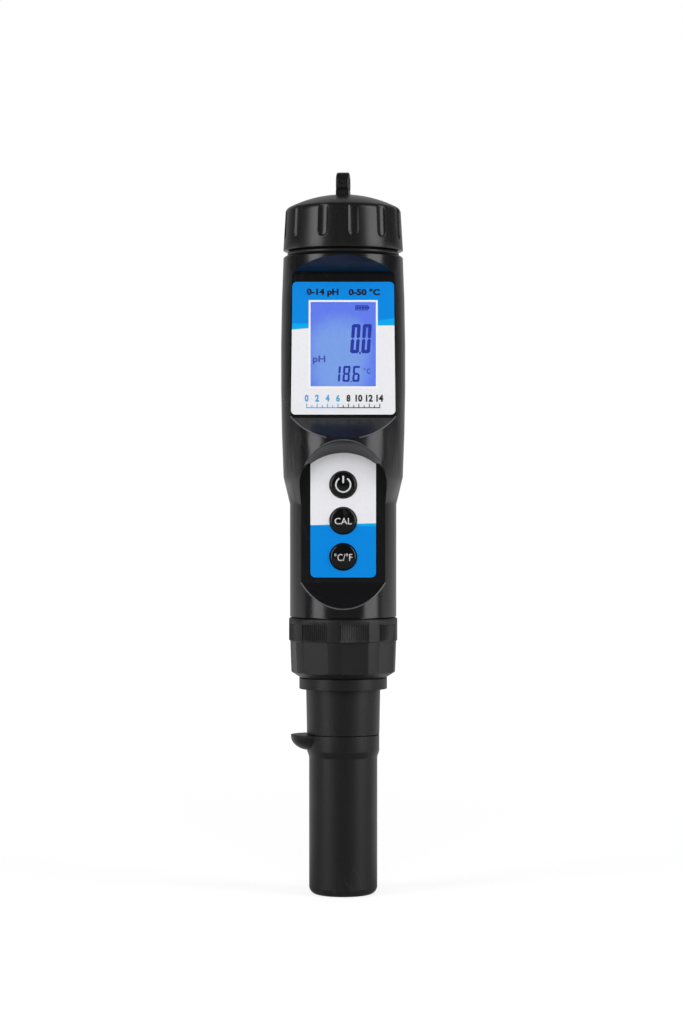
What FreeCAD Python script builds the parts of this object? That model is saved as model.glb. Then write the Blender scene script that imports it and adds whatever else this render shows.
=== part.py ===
import FreeCAD, Part
import math
import os
import re
import Sketcher

# Pen-shaped pH meter standing on its electrode cap.
# Millimetres, +Z up, front towards -Y, origin at the middle of the foot of the cap.

SIZES = [
    # electrode cap, a deep cup with a thumb tab at its rim
    ("cover_height", 45.4, "height of the electrode cap"),
    ("cover_wall_radius", 9.7, "outside below the rim"),
    ("cover_rim_radius", 10.55, "outside of the rim band"),
    ("cover_rim_band", 4.8, "height of the rim band"),
    ("cover_flare_length", 3.2, "flare below the rim band"),
    ("cover_bore_radius", 8.25, "bore of the cup"),
    ("cover_floor", 1.6, "thickness of the cup's floor"),
    ("cover_foot_round", 2.0, "round at the foot"),
    ("tab_height", 4.5, "height of the thumb tab"),
    ("tab_nose_radius", 6.3, "plan radius of the tab"),
    ("tab_offset", 8.6, "tab centre left of the axis"),
    ("tab_under_round", 4.2, "quarter round under the tab"),
    ("sponge_height", 6.2, "storage sponge in the cup"),
    ("sponge_gap", 0.1, "sponge to cup"),

    # electrode module
    ("cover_gap", 0.2, "cap rim to electrode shank"),
    ("shank_radius", 10.7, "shank between cap and nut"),
    ("collar_rise", 12.8, "collar above the foot of the shank"),
    ("shank_height", 19.6, "foot of the shank to the clamp flange"),
    ("flange_radius", 12.9, "clamp flange"),
    ("flange_thickness", 3.2, "clamp flange"),
    ("plug_radius", 9.8, "plug that enters the handle"),
    ("plug_height", 7.0, "plug above the flange"),
    ("probe_radius", 7.8, "tube inside the cap"),
    ("tip_clearance", 1.2, "end of the tube to the sponge"),
    ("probe_wall", 1.3, "wall of the tube"),
    ("probe_bore_height", 20.0, "bore above the foot of the shank"),
    ("probe_edge", 0.5, "bevel at the open end of the tube"),
    ("guard_slot_width", 3.2, "slots at the open end"),
    ("guard_slot_height", 7.0, "slots at the open end"),
    ("collar_radius", 12.5, "loose collar on the shank"),
    ("collar_height", 3.15, "loose collar on the shank"),
    ("slip", 0.05, "clearance of a sliding or seated fit"),
    ("gasket_thickness", 0.5, "flat gasket on the clamp flange"),

    # sensing tip inside the tube
    ("bulb_radius", 2.9, "glass bulb"),
    ("bulb_wall", 0.4, "glass bulb"),
    ("bulb_recess", 2.5, "bulb inside the end of the guard"),
    ("stem_radius", 1.9, "glass stem"),
    ("stem_height", 24.0, "stem above the middle of the bulb"),
    ("wire_radius", 0.4, "inner electrode"),
    ("wire_foot", 1.4, "inner electrode below the middle of the bulb"),
    ("wire_seal_height", 1.6, "seal at the top of the stem"),
    ("potting_thickness", 3.0, "resin disc that holds the tip"),
    ("potting_gap", 0.1, "bulb to resin"),
    ("sensor_radius", 1.0, "temperature sensor"),
    ("sensor_offset", 4.9, "sensor and junction from the axis"),
    ("sensor_reach", 5.0, "sensor below the resin"),
    ("sensor_height", 12.0, "length of the sensor"),
    ("junction_radius", 1.1, "porous reference junction"),
    ("junction_reach", 0.5, "junction below the resin"),
    ("junction_height", 5.0, "length of the junction"),
    ("pin_width", 0.9, "plug pins"),
    ("pin_length", 7.0, "plug pins"),
    ("pin_depth", 1.8, "pin set into the plug"),
    ("pin_circle", 3.2, "plug pins from the axis"),

    # union nut that clamps the electrode
    ("nut_gap", 0.2, "collar to nut"),
    ("nut_height", 16.95, "height of the nut"),
    ("nut_foot_radius", 12.6, "flat lower face"),
    ("nut_cone_height", 1.45, "lower cone"),
    ("nut_low_radius", 14.8, "body above the cone"),
    ("nut_high_radius", 15.1, "body below the knurled band"),
    ("nut_band_radius", 15.43, "knurled band"),
    ("nut_band_start", 10.4, "height where the band begins"),
    ("nut_flat_low", 14.25, "middle of a flat from the axis, at its foot"),
    ("nut_flat_high", 14.6, "middle of a flat from the axis, at its top"),
    ("nut_flat_count", 8, "flats round the nut"),
    ("nut_turn", 12.5, "angle of the first flat from the front"),
    ("nut_lip_height", 3.3, "lip under the clamp flange"),
    ("nut_lip_clearance", 0.3, "lip to shank"),
    ("thread_clearance", 0.3, "threads of nut and battery cap, radially"),
    ("nut_top_gap", 0.3, "nut to handle"),

    # handle
    ("spigot_clearance", 0.3, "plug to the spigot's bore"),
    ("spigot_length", 10.1, "threaded spigot under the handle"),
    ("floor_thickness", 2.0, "floor of the handle"),
    ("barrel_low_radius", 15.15, "lower barrel"),
    ("barrel_low_height", 31.9, "lower barrel"),
    ("barrel_flare_height", 39.6, "top of the flare"),
    ("barrel_radius", 17.0, "upper barrel at both ends"),
    ("barrel_belly_radius", 700.0, "long curve of the upper barrel"),
    ("barrel_height", 102.4, "handle without its neck"),
    ("barrel_edge", 0.5, "bevel at the upper edge of the barrel"),
    ("neck_radius", 14.5, "threaded neck"),
    ("neck_height", 9.0, "threaded neck"),
    ("bore_radius", 13.0, "inside of the handle"),
    ("ledge_drop", 1.2, "ledge of the cell holder below the top of the barrel"),
    ("front_depth", 9.4, "front faces from the axis"),
    ("front_wall", 1.8, "wall behind the front faces"),
    ("scoop_drop", 0.8, "upper lip of the display scoop below the top of the barrel"),
    ("scoop_slope_high", 4.9, "height of the upper slope of the scoop"),
    ("scoop_face_height", 40.1, "height of the display face"),
    ("scoop_slope_low", 6.3, "height of the lower slope of the scoop"),
    ("pad_half_width", 11.9, "keypad recess"),
    ("pad_arch_centre", 36.0, "centre of the arch over the keypad"),
    ("pad_floor_low", 9.8, "foot of the keypad face"),
    ("pad_ramp_low", 2.5, "foot of the ramp below the keypad"),
    ("pad_draft", 15.0, "slope of the recess walls, degrees"),

    # display
    ("window_half_width", 9.2, "clear window of the label"),
    ("window_drop", 7.85, "clear window below the top of the display face"),
    ("window_height", 23.75, "clear window of the label"),
    ("window_margin", 0.6, "hole in the handle beyond the clear window"),
    ("lens_margin", 2.0, "lens beyond the clear window"),
    ("lens_thickness", 1.0, "lens"),
    ("lens_gap", 0.1, "lens in its recess"),
    ("label_thickness", 0.3, "front labels"),
    ("display_label_half_width", 14.7, "display label at its foot"),
    ("display_label_top_half_width", 14.3, "display label at its top"),
    ("label_drop", 2.2, "display label below the top of the display face"),
    ("display_label_height", 37.35, "height of the display label"),
    ("display_label_corner", 1.2, "corners of the display label"),
    ("lcd_thickness", 2.0, "liquid crystal cell"),
    ("lcd_margin", 1.1, "cell beyond the clear window"),
    ("lcd_gap", 0.2, "cell to the handle's wall"),
    ("backlight_thickness", 1.2, "light guide behind the cell"),
    ("stack_gap", 0.1, "between stacked pieces"),
    ("tray_wall", 0.7, "tray round the light guide"),
    ("tray_depth", 1.7, "tray round the light guide"),
    ("strip_width", 1.6, "elastic contact strips"),

    # keypad
    ("keypad_half_width", 9.22, "keypad label"),
    ("keypad_low", 11.3, "foot of the keypad label"),
    ("keypad_margin", 0.2, "side corners under the arch to the recess wall"),
    ("keypad_arch_radius", 15.0, "arch of the keypad label"),
    ("keypad_corner", 1.4, "lower corners of the keypad label"),
    ("button_radius", 3.7, "buttons"),
    ("button_clearance", 0.2, "button to handle"),
    ("label_hole_clearance", 0.25, "button to label"),
    ("button_high", 37.4, "power button"),
    ("button_mid", 27.25, "calibration button"),
    ("button_low", 17.1, "unit button"),
    ("button_proud", 1.2, "button in front of its label"),
    ("button_dome_radius", 9.0, "dome of a button"),
    ("button_edge", 0.4, "bevel at the edge of a button"),
    ("button_flange_radius", 4.4, "flange that keeps the button in"),
    ("button_flange_thickness", 0.5, "flange"),
    ("button_travel", 0.5, "travel of a button"),
    ("switch_width", 6.0, "push switches"),
    ("switch_thickness", 1.7, "push switches"),
    ("switch_tip_width", 2.6, "push switches"),

    # inside the handle
    ("board_half_width", 12.0, "circuit board"),
    ("board_low", 9.0, "foot of the board"),
    ("board_top_gap", 3.2, "board to the ledge of the cell holder"),
    ("board_face", 3.6, "front of the board from the axis"),
    ("board_thickness", 1.6, "circuit board"),
    ("chip_width", 9.0, "controller"),
    ("chip_thickness", 1.4, "controller"),
    ("chip_rise", 44.0, "controller above the foot of the board"),
    ("crystal_width", 3.2, "clock crystal"),
    ("crystal_length", 7.0, "clock crystal"),
    ("crystal_thickness", 1.2, "clock crystal"),
    ("crystal_rise", 58.0, "crystal above the foot of the board"),
    ("socket_radius", 6.0, "electrode socket"),
    ("socket_clearance", 0.15, "socket in the floor"),
    ("socket_flange_radius", 7.4, "socket flange on the floor"),
    ("socket_flange_thickness", 2.5, "socket flange"),
    ("socket_foot_gap", 0.3, "plug to socket"),
    ("header_width", 8.0, "header between socket and board"),
    ("header_height", 4.0, "header"),

    # cells
    ("holder_radius_gap", 0.2, "cell holder in the bore"),
    ("holder_ledge_gap", 0.1, "cell holder on its ledge"),
    ("holder_height", 9.5, "cell holder"),
    ("holder_floor", 1.2, "floor of the cell holder"),
    ("cell_radius", 5.8, "button cell"),
    ("cell_height", 5.4, "button cell"),
    ("cell_clearance", 0.15, "cell in its pocket"),
    ("cell_offset", 6.3, "pockets from the middle, sideways"),
    ("cell_back", 1.5, "pockets behind the axis"),
    ("cell_gap", 0.05, "between stacked cells"),
    ("contact_width", 6.0, "contact under the cells"),
    ("contact_thickness", 0.3, "contact under the cells"),

    # battery cap
    ("seal_section", 0.7, "half section of the O-ring under the cap"),
    ("seal_lift", 0.1, "O-ring to cap"),
    ("cap_foot_radius", 17.05, "skirt at its foot"),
    ("cap_top_radius", 16.42, "skirt where it meets the dome"),
    ("cap_crown", 4.9, "top of the dome above the ceiling"),
    ("cap_dome_radius", 45.0, "dome"),
    ("cap_shoulder_round", 2.4, "round of the shoulder"),
    ("cell_headroom", 0.3, "upper cells to the rivet in the cap"),
    ("grip_slot_count", 12, "grip slots"),
    ("grip_slot_width", 2.5, "grip slots"),
    ("grip_slot_depth", 0.6, "grip slots"),
    ("grip_slot_start", 3.1, "lower end of the grip slots"),
    ("grip_slot_turn", 10.0, "first slot from the front, degrees"),
    ("loop_thickness", 3.6, "lanyard loop"),
    ("loop_radius", 3.4, "lanyard loop"),
    ("loop_hole_radius", 1.9, "lanyard loop"),
    ("loop_rise", 3.0, "hole of the loop above the dome"),
    ("plate_radius", 11.5, "contact plate under the ceiling"),
    ("plate_thickness", 0.5, "contact plate"),
    ("plate_gap", 0.15, "plate to ceiling"),
    ("rivet_radius", 1.2, "rivet that carries the plate"),
    ("rivet_head_radius", 2.2, "rivet head under the plate"),
    ("rivet_head_thickness", 0.4, "rivet head under the plate"),
    ("rivet_depth", 3.0, "rivet in the ceiling"),
]

# Places that follow from the sizes above.
PLACES = {
    "cover_rim_start": "cover_height - cover_rim_band",
    "cover_flare_start": "cover_rim_start - cover_flare_length",
    "shank_foot": "cover_height + cover_gap",
    "flange_foot": "shank_foot + shank_height",
    "probe_bore_radius": "probe_radius - probe_wall",
    "flange_top": "flange_foot + flange_thickness",
    "plug_top": "flange_top + plug_height",
    "probe_tip": "cover_floor + sponge_height + tip_clearance",
    "probe_reach": "shank_foot - probe_tip",
    "bulb_centre": "probe_tip + bulb_recess + bulb_radius",
    "potting_foot": "bulb_centre + bulb_radius + potting_gap",
    "collar_foot": "shank_foot + collar_rise",
    "nut_foot": "collar_foot + collar_height + nut_gap",
    "handle_foot": "nut_foot + nut_height + nut_top_gap",
    "handle_top": "handle_foot + barrel_height",
    "spigot_radius": "flange_radius",
    "spigot_bore": "plug_radius + spigot_clearance",
    "thread_bore": "spigot_radius + thread_clearance",
    "cap_foot": "handle_top + 2 * seal_section + seal_lift",
    "cap_bore": "neck_radius + thread_clearance",
    "bore_ledge": "barrel_height - ledge_drop",
    "board_high": "bore_ledge - board_top_gap",
    "scoop_high": "barrel_height - scoop_drop",
    "scoop_floor_high": "scoop_high - scoop_slope_high",
    "scoop_floor_low": "scoop_floor_high - scoop_face_height",
    "scoop_low": "scoop_floor_low - scoop_slope_low",
    "window_high": "scoop_floor_high - window_drop",
    "window_low": "window_high - window_height",
    "display_label_high": "scoop_floor_high - label_drop",
    "display_label_low": "display_label_high - display_label_height",
    "keypad_shoulder": "pad_arch_centre + sqrt((pad_half_width - keypad_margin) ^ 2"
                       " - keypad_half_width ^ 2)",
    "holder_foot": "bore_ledge + holder_ledge_gap",
    "cell_foot": "holder_foot + holder_floor + contact_thickness + 2 * cell_gap",
    "cell_top": "handle_foot + cell_foot + 2 * cell_height + cell_gap",
    "rivet_foot": "cell_top + cell_headroom - cap_foot",
    "cap_ceiling": "rivet_foot + rivet_head_thickness + plate_thickness + plate_gap",
    "cap_dome_height": "cap_ceiling + cap_crown",
    "loop_centre": "cap_dome_height + loop_rise",
    "inner_face": "front_depth - front_wall",
    "lcd_face": "inner_face - lcd_gap",
    "light_face": "lcd_face - lcd_thickness - stack_gap",
    "flange_face": "inner_face - stack_gap",
    "window_middle": "(window_low + window_high) / 2",
}

doc = FreeCAD.newDocument("ph_meter")
sheet = doc.addObject("Spreadsheet::Sheet", "Sizes")
for row, (alias, number, note) in enumerate(SIZES, start=1):
    sheet.set("A%d" % row, alias)
    sheet.set("B%d" % row, str(number))
    sheet.set("C%d" % row, note)
    sheet.setAlias("B%d" % row, alias)
doc.recompute()

ALIASES = {alias for alias, number, note in SIZES}
PARTS = []


def formula(text):
    """The text with every size named in full and every place written out."""
    def full(match):
        word = match.group()
        if word in PLACES:
            return "(" + formula(PLACES[word]) + ")"
        if word in ALIASES:
            return "Sizes." + word
        return word
    return re.sub(r"[a-z_]+", full, str(text))


def value(text):
    number = sheet.evalExpression(formula(text))
    return float(getattr(number, "Value", number))


def bind(thing, prop, text):
    thing.setExpression(prop, formula(text))


def place(thing, x="0", y="0", z="0", turn="0"):
    """Puts a finished piece at its place, turned about Z."""
    thing.Placement = FreeCAD.Placement(
        FreeCAD.Vector(value(x), value(y), value(z)),
        FreeCAD.Rotation(FreeCAD.Vector(0, 0, 1), value(turn)))
    bind(thing, "Placement.Base.x", x)
    bind(thing, "Placement.Base.y", y)
    bind(thing, "Placement.Base.z", z)
    if turn != "0":
        bind(thing, "Placement.Rotation.Angle", turn)


def finish(thing, label):
    thing.Label = label
    PARTS.append(thing)
    return thing


# Sketches.

def new_body(name):
    return doc.addObject("PartDesign::Body", name)


def new_sketch(body, name, role, away="0"):
    """A sketch on one of the body's own planes, moved along its normal."""
    sketch = body.newObject("Sketcher::SketchObject", name)
    plane = next(f for f in body.Origin.OriginFeatures if f.Role == role)
    sketch.AttachmentSupport = [(plane, "")]
    sketch.MapMode = "FlatFace"
    if away != "0":
        bind(sketch, "AttachmentOffset.Base.z", away)
    return sketch


def turn_sketch(sketch, angle):
    """Turns an upright sketch back about Z."""
    sketch.AttachmentOffset = FreeCAD.Placement(
        FreeCAD.Vector(0, 0, 0),
        FreeCAD.Rotation(FreeCAD.Vector(0, -1, 0), value(angle)))
    bind(sketch, "AttachmentOffset.Rotation.Angle", angle)


def pin_point(sketch, edge, end, u, v):
    """Ties a point of the sketch to its distances from the origin."""
    for kind, text in (("DistanceX", u), ("DistanceY", v)):
        index = sketch.addConstraint(
            Sketcher.Constraint(kind, -1, 1, edge, end, value(text)))
        bind(sketch, "Constraints[%d]" % index, text)


def pin_radius(sketch, edge, text):
    index = sketch.addConstraint(Sketcher.Constraint("Radius", edge, value(text)))
    bind(sketch, "Constraints[%d]" % index, text)


def pin_level(sketch, edge, text):
    """Ties the centre of a half circle to the level of its two ends."""
    index = sketch.addConstraint(
        Sketcher.Constraint("DistanceY", -1, 1, edge, 3, value(text)))
    bind(sketch, "Constraints[%d]" % index, text)


def arc_between(start, end, radius, turn, long_way):
    """An arc to the left or right between two points, with its two ends in order."""
    middle = (start + end) / 2
    chord = end - start
    rise = math.sqrt(max(radius ** 2 - (chord.Length / 2) ** 2, 0))
    left = FreeCAD.Vector(-chord.y, chord.x, 0).normalize()
    side = 1 if (turn == "left") != long_way else -1
    centre = middle + left * rise * side
    first, last, ends = (start, end, (1, 2)) if turn == "left" else (end, start, (2, 1))
    angles = [math.atan2(p.y - centre.y, p.x - centre.x) for p in (first, last)]
    if angles[1] <= angles[0]:
        angles[1] += 2 * math.pi
    circle = Part.Circle(centre, FreeCAD.Vector(0, 0, 1), radius)
    return Part.ArcOfCircle(circle, angles[0], angles[1]), ends


def add_outline(sketch, corners):
    """Closed outline. A corner is (u, v), or (u, v, radius, "left" or "right")
    where an arc leads to the next corner, with "long" for the longer way round
    and "half" for a half circle between two corners on one level."""
    spots = [FreeCAD.Vector(value(c[0]), value(c[1]), 0) for c in corners]
    edges = []
    for index, corner in enumerate(corners):
        start = spots[index]
        end = spots[(index + 1) % len(spots)]
        if len(corner) == 2:
            edges.append((sketch.addGeometry(Part.LineSegment(start, end)), 1, 2))
        else:
            arc, ends = arc_between(start, end, value(corner[2]), corner[3], "long" in corner)
            edges.append((sketch.addGeometry(arc), ends[0], ends[1]))
    for index, edge in enumerate(edges):
        after = edges[(index + 1) % len(edges)]
        sketch.addConstraint(
            Sketcher.Constraint("Coincident", edge[0], edge[2], after[0], after[1]))
    for edge, corner in zip(edges, corners):
        pin_point(sketch, edge[0], edge[1], corner[0], corner[1])
        if "half" in corner:
            pin_level(sketch, edge[0], corner[1])
        elif len(corner) > 2:
            pin_radius(sketch, edge[0], corner[2])


def arc_corners(u, v, radius, first, last, steps):
    """Corners evenly along an arc about (u, v), from one angle to another in degrees."""
    corners = []
    for step in range(steps + 1):
        angle = "(%s) + ((%s) - (%s)) * %d / %d" % (first, last, first, step, steps)
        corners.append(("(%s) + (%s) * cos(%s)" % (u, radius, angle),
                        "(%s) + (%s) * sin(%s)" % (v, radius, angle)))
    return corners


def add_circle(sketch, u, v, radius):
    spot = FreeCAD.Vector(value(u), value(v), 0)
    circle = Part.Circle(spot, FreeCAD.Vector(0, 0, 1), value(radius))
    edge = sketch.addGeometry(circle)
    pin_point(sketch, edge, 3, u, v)
    pin_radius(sketch, edge, radius)


# Features.

def revolve(body, name, corners):
    """A full turn about Z of an outline given as (radius, height)."""
    sketch = new_sketch(body, name + "_profile", "XZ_Plane")
    add_outline(sketch, corners)
    feature = body.newObject("PartDesign::Revolution", name)
    feature.Profile = sketch
    feature.ReferenceAxis = (sketch, ["V_Axis"])
    feature.Angle = 360
    return feature


def extrude(body, kind, name, sketch, length, both_sides=False, flip=False):
    """A pad, or a pocket that has to take something away."""
    before = body.Shape.Volume if kind == "Pocket" else 0
    feature = body.newObject("PartDesign::" + kind, name)
    feature.Profile = sketch
    feature.Type = "Length"
    bind(feature, "Length", length)
    feature.SideType = "Symmetric" if both_sides else "One side"
    feature.Reversed = flip
    doc.recompute()
    if kind == "Pocket" and not body.Shape.Volume < before - 1e-6:
        raise ValueError(name + " takes nothing away")
    return feature


def pattern(body, name, feature, count):
    """Repeats a feature evenly round Z."""
    ring = body.newObject("PartDesign::PolarPattern", name)
    ring.Originals = [feature]
    ring.Axis = (next(f for f in body.Origin.OriginFeatures if f.Role == "Z_Axis"), [""])
    ring.Angle = 360
    bind(ring, "Occurrences", count)
    body.Tip = ring
    doc.recompute()
    return ring


def ring_edges(body, radius, height):
    """The circular edges about Z with this radius at this height."""
    names = []
    for index, edge in enumerate(body.Tip.Shape.Edges, start=1):
        curve = None if edge.Degenerated else edge.Curve
        if not isinstance(curve, Part.Circle) or abs(abs(curve.Axis.z) - 1) > 1e-6:
            continue
        if abs(curve.Radius - value(radius)) < 1e-4 and abs(curve.Center.z - value(height)) < 1e-4:
            if math.hypot(curve.Center.x, curve.Center.y) < 1e-4:
                names.append("Edge%d" % index)
    return names


def bevel_edges(body, name, names, size):
    if not names:
        raise ValueError(name + " finds no edge")
    base = body.Tip
    feature = body.newObject("PartDesign::Chamfer", name)
    feature.Base = (base, names)
    bind(feature, "Size", size)
    doc.recompute()
    return feature


def cylinder(name, radius, height, x="0", y="0", z="0", axis="z"):
    thing = doc.addObject("Part::Cylinder", name)
    bind(thing, "Radius", radius)
    bind(thing, "Height", height)
    turns = {"z": (0, 0, 1, 0), "x": (0, 1, 0, 90), "y": (1, 0, 0, -90)}
    ax, ay, az, angle = turns[axis]
    thing.Placement = FreeCAD.Placement(
        FreeCAD.Vector(value(x), value(y), value(z)),
        FreeCAD.Rotation(FreeCAD.Vector(ax, ay, az), angle))
    bind(thing, "Placement.Base.x", x)
    bind(thing, "Placement.Base.y", y)
    bind(thing, "Placement.Base.z", z)
    return thing


def block(name, length, width, height, x, y, z):
    thing = doc.addObject("Part::Box", name)
    bind(thing, "Length", length)
    bind(thing, "Width", width)
    bind(thing, "Height", height)
    place(thing, x, y, z)
    return thing


def cut(name, base, tool):
    thing = doc.addObject("Part::Cut", name)
    thing.Base = base
    thing.Tool = tool
    return thing


def fuse(name, pieces):
    thing = doc.addObject("Part::MultiFuse", name)
    thing.Shapes = pieces
    thing.Refine = True
    return thing


# Electrode cap.

def make_protective_cap():
    shell = new_body("cap_shell")
    foot = arc_corners("cover_wall_radius - cover_foot_round", "cover_foot_round",
                       "cover_foot_round", "-90 deg", "0 deg", 3)
    revolve(shell, "cap_turned", [
        ("0", "0"),
        *foot,
        ("cover_wall_radius", "cover_flare_start"),
        ("cover_rim_radius", "cover_rim_start"),
        ("cover_rim_radius", "cover_height"),
        ("0", "cover_height")])

    # The thumb tab is flush with the rim and rounded underneath.
    tab = new_body("tab")
    under = arc_corners("tab_nose_radius - tab_under_round", "tab_under_round",
                        "tab_under_round", "-90 deg", "0 deg", 3)
    revolve(tab, "tab_turned", [
        ("0", "0"),
        *under,
        ("tab_nose_radius", "tab_height"),
        ("0", "tab_height")])
    place(tab, x="-tab_offset", z="cover_height - tab_height")

    bore = cylinder("cap_bore", "cover_bore_radius", "cover_height", z="cover_floor")
    cup = cut("protective_cap", fuse("cap_with_tab", [shell, tab]), bore)
    place(cup)
    return finish(cup, "protective_cap")


def make_storage_sponge():
    sponge = cylinder("sponge", "cover_bore_radius - sponge_gap", "sponge_height", z="cover_floor")
    return finish(sponge, "storage_sponge")


# Electrode module.

def make_electrode_body():
    body = new_body("electrode")
    revolve(body, "electrode_turned", [
        ("probe_bore_radius", "-probe_reach"),
        ("probe_radius", "-probe_reach"),
        ("probe_radius", "0"),
        ("shank_radius", "0"),
        ("shank_radius", "shank_height"),
        ("flange_radius", "shank_height"),
        ("flange_radius", "shank_height + flange_thickness"),
        ("plug_radius", "shank_height + flange_thickness"),
        ("plug_radius", "shank_height + flange_thickness + plug_height"),
        ("0", "shank_height + flange_thickness + plug_height"),
        ("0", "probe_bore_height"),
        ("probe_bore_radius", "probe_bore_height")])
    doc.recompute()
    bevel_edges(body, "tip_bevel", ring_edges(body, "probe_radius", "-probe_reach"),
                "probe_edge")

    # Two crossing slots leave four prongs round the bulb.
    for name, role in (("slot_across", "XZ_Plane"), ("slot_along", "YZ_Plane")):
        sketch = new_sketch(body, name + "_outline", role)
        half = "guard_slot_width / 2"
        top = "guard_slot_height - %s - probe_reach" % half
        add_outline(sketch, [
            ("-" + half, "-probe_reach - 1"),
            (half, "-probe_reach - 1"),
            (half, top, half, "left", "half"),
            ("-" + half, top)])
        extrude(body, "Pocket", name, sketch, "4 * probe_radius", both_sides=True)

    # Holes for the four pins.
    top = "shank_height + flange_thickness + plug_height"
    sketch = new_sketch(body, "pin_hole_outline", "XY_Plane", top)
    for u, v in pin_spots():
        add_outline(sketch, square_at(u, v, "pin_width + 0.8 * slip"))
    extrude(body, "Pocket", "pin_holes", sketch, "pin_depth")
    place(body, z="shank_foot")
    return finish(body, "electrode_body")


def pin_spots():
    side = "pin_circle"
    return [(side, "0"), ("0", side), ("-" + side, "0"), ("0", "-" + side)]


def square_at(u, v, width):
    """A square of this width about a spot."""
    half = "(%s) / 2" % width
    low_u, high_u = "%s - %s" % (u, half), "%s + %s" % (u, half)
    low_v, high_v = "%s - %s" % (v, half), "%s + %s" % (v, half)
    return [(low_u, low_v), (high_u, low_v), (high_u, high_v), (low_u, high_v)]


def make_plug_pins():
    for number, (u, v) in enumerate(pin_spots(), start=1):
        pin = block("pin_%d" % number, "pin_width", "pin_width", "pin_length",
                    u + " - pin_width / 2", v + " - pin_width / 2", "plug_top - pin_depth")
        finish(pin, "plug_pin_%d" % number)


def make_electrode_collar():
    body = new_body("collar")
    revolve(body, "collar_turned", [
        ("shank_radius + slip", "slip"),
        ("collar_radius", "slip"),
        ("collar_radius", "collar_height"),
        ("shank_radius + slip", "collar_height")])
    place(body, z="collar_foot")
    return finish(body, "electrode_collar")


def make_ring(label, inner, half, centre_height):
    """An O-ring with a square section, its inside at the given radius."""
    body = new_body(label + "_ring")
    outer = "%s + 2 * %s" % (inner, half)
    revolve(body, label + "_turned", [
        (inner, "-" + half),
        (outer, "-" + half),
        (outer, half),
        (inner, half)])
    place(body, z=centre_height)
    return finish(body, label)


def make_gasket():
    body = new_body("gasket")
    revolve(body, "gasket_turned", [
        ("spigot_bore", "0"),
        ("flange_radius - slip", "0"),
        ("flange_radius - slip", "gasket_thickness"),
        ("spigot_bore", "gasket_thickness")])
    place(body, z="flange_top")
    return finish(body, "clamp_gasket")


# Sensing tip.

def make_tip_potting():
    body = new_body("potting")
    sketch = new_sketch(body, "potting_outline", "XY_Plane")
    add_circle(sketch, "0", "0", "probe_bore_radius - 0.2 * slip")
    add_circle(sketch, "0", "0", "stem_radius + 0.4 * slip")
    add_circle(sketch, "sensor_offset", "0", "sensor_radius + 0.4 * slip")
    add_circle(sketch, "-sensor_offset", "0", "junction_radius + 0.4 * slip")
    extrude(body, "Pad", "potting_pad", sketch, "potting_thickness")
    place(body, z="potting_foot")
    return finish(body, "tip_potting")


def make_glass_bulb():
    body = new_body("glass")
    inner = "(bulb_radius - bulb_wall)"
    bore = "(stem_radius - bulb_wall)"
    outside = arc_corners("0", "0", "bulb_radius", "-90 deg",
                          "acos(stem_radius / bulb_radius)", 4)
    inside = arc_corners("0", "0", inner, "acos(%s / %s)" % (bore, inner),
                         "-90 deg", 3)
    revolve(body, "glass_turned", [
        *outside,
        ("stem_radius", "stem_height"),
        (bore, "stem_height"),
        *inside])
    place(body, z="bulb_centre")
    return finish(body, "glass_bulb")


def make_inner_electrode():
    body = new_body("inner_wire")
    bore = "stem_radius - bulb_wall - slip"
    revolve(body, "wire_turned", [
        ("0", "-wire_foot"),
        ("wire_radius", "-wire_foot"),
        ("wire_radius", "stem_height - wire_seal_height"),
        (bore, "stem_height - wire_seal_height"),
        (bore, "stem_height"),
        ("0", "stem_height")])
    place(body, z="bulb_centre")
    return finish(body, "inner_electrode")


def make_temperature_sensor():
    body = new_body("sensor")
    revolve(body, "sensor_turned", [
        ("0", "0"),
        ("sensor_radius / 2", "0"),
        ("sensor_radius", "sensor_radius / 2"),
        ("sensor_radius", "sensor_height"),
        ("0", "sensor_height")])
    place(body, x="sensor_offset", z="potting_foot - sensor_reach")
    return finish(body, "temperature_sensor")


def make_reference_junction():
    plug = cylinder("junction", "junction_radius", "junction_height",
                    x="-sensor_offset", z="potting_foot - junction_reach")
    return finish(plug, "reference_junction")


# Union nut.

def make_coupling_nut():
    body = new_body("nut")
    lip = "shank_radius + nut_lip_clearance"
    revolve(body, "nut_turned", [
        (lip, "0"),
        ("nut_foot_radius", "0"),
        ("nut_low_radius", "nut_cone_height"),
        ("nut_high_radius", "nut_band_start"),
        ("nut_band_radius", "nut_band_start"),
        ("nut_band_radius", "nut_height"),
        ("thread_bore", "nut_height"),
        ("thread_bore", "nut_lip_height"),
        (lip, "nut_lip_height")])
    doc.recompute()

    # Eight spanner flats under the band lean outwards a little towards the top.
    sketch = new_sketch(body, "flat_outline", "YZ_Plane")
    add_outline(sketch, [
        ("-nut_flat_low", "nut_cone_height"),
        ("-nut_flat_high", "nut_band_start"),
        ("-nut_band_radius - 1", "nut_band_start"),
        ("-nut_band_radius - 1", "0"),
        ("-nut_flat_low", "0")])
    flat = extrude(body, "Pocket", "flat", sketch, "nut_band_radius", both_sides=True)
    pattern(body, "flats", flat, "nut_flat_count")
    place(body, z="nut_foot", turn="nut_turn")
    return finish(body, "coupling_nut")


# Handle.

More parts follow.
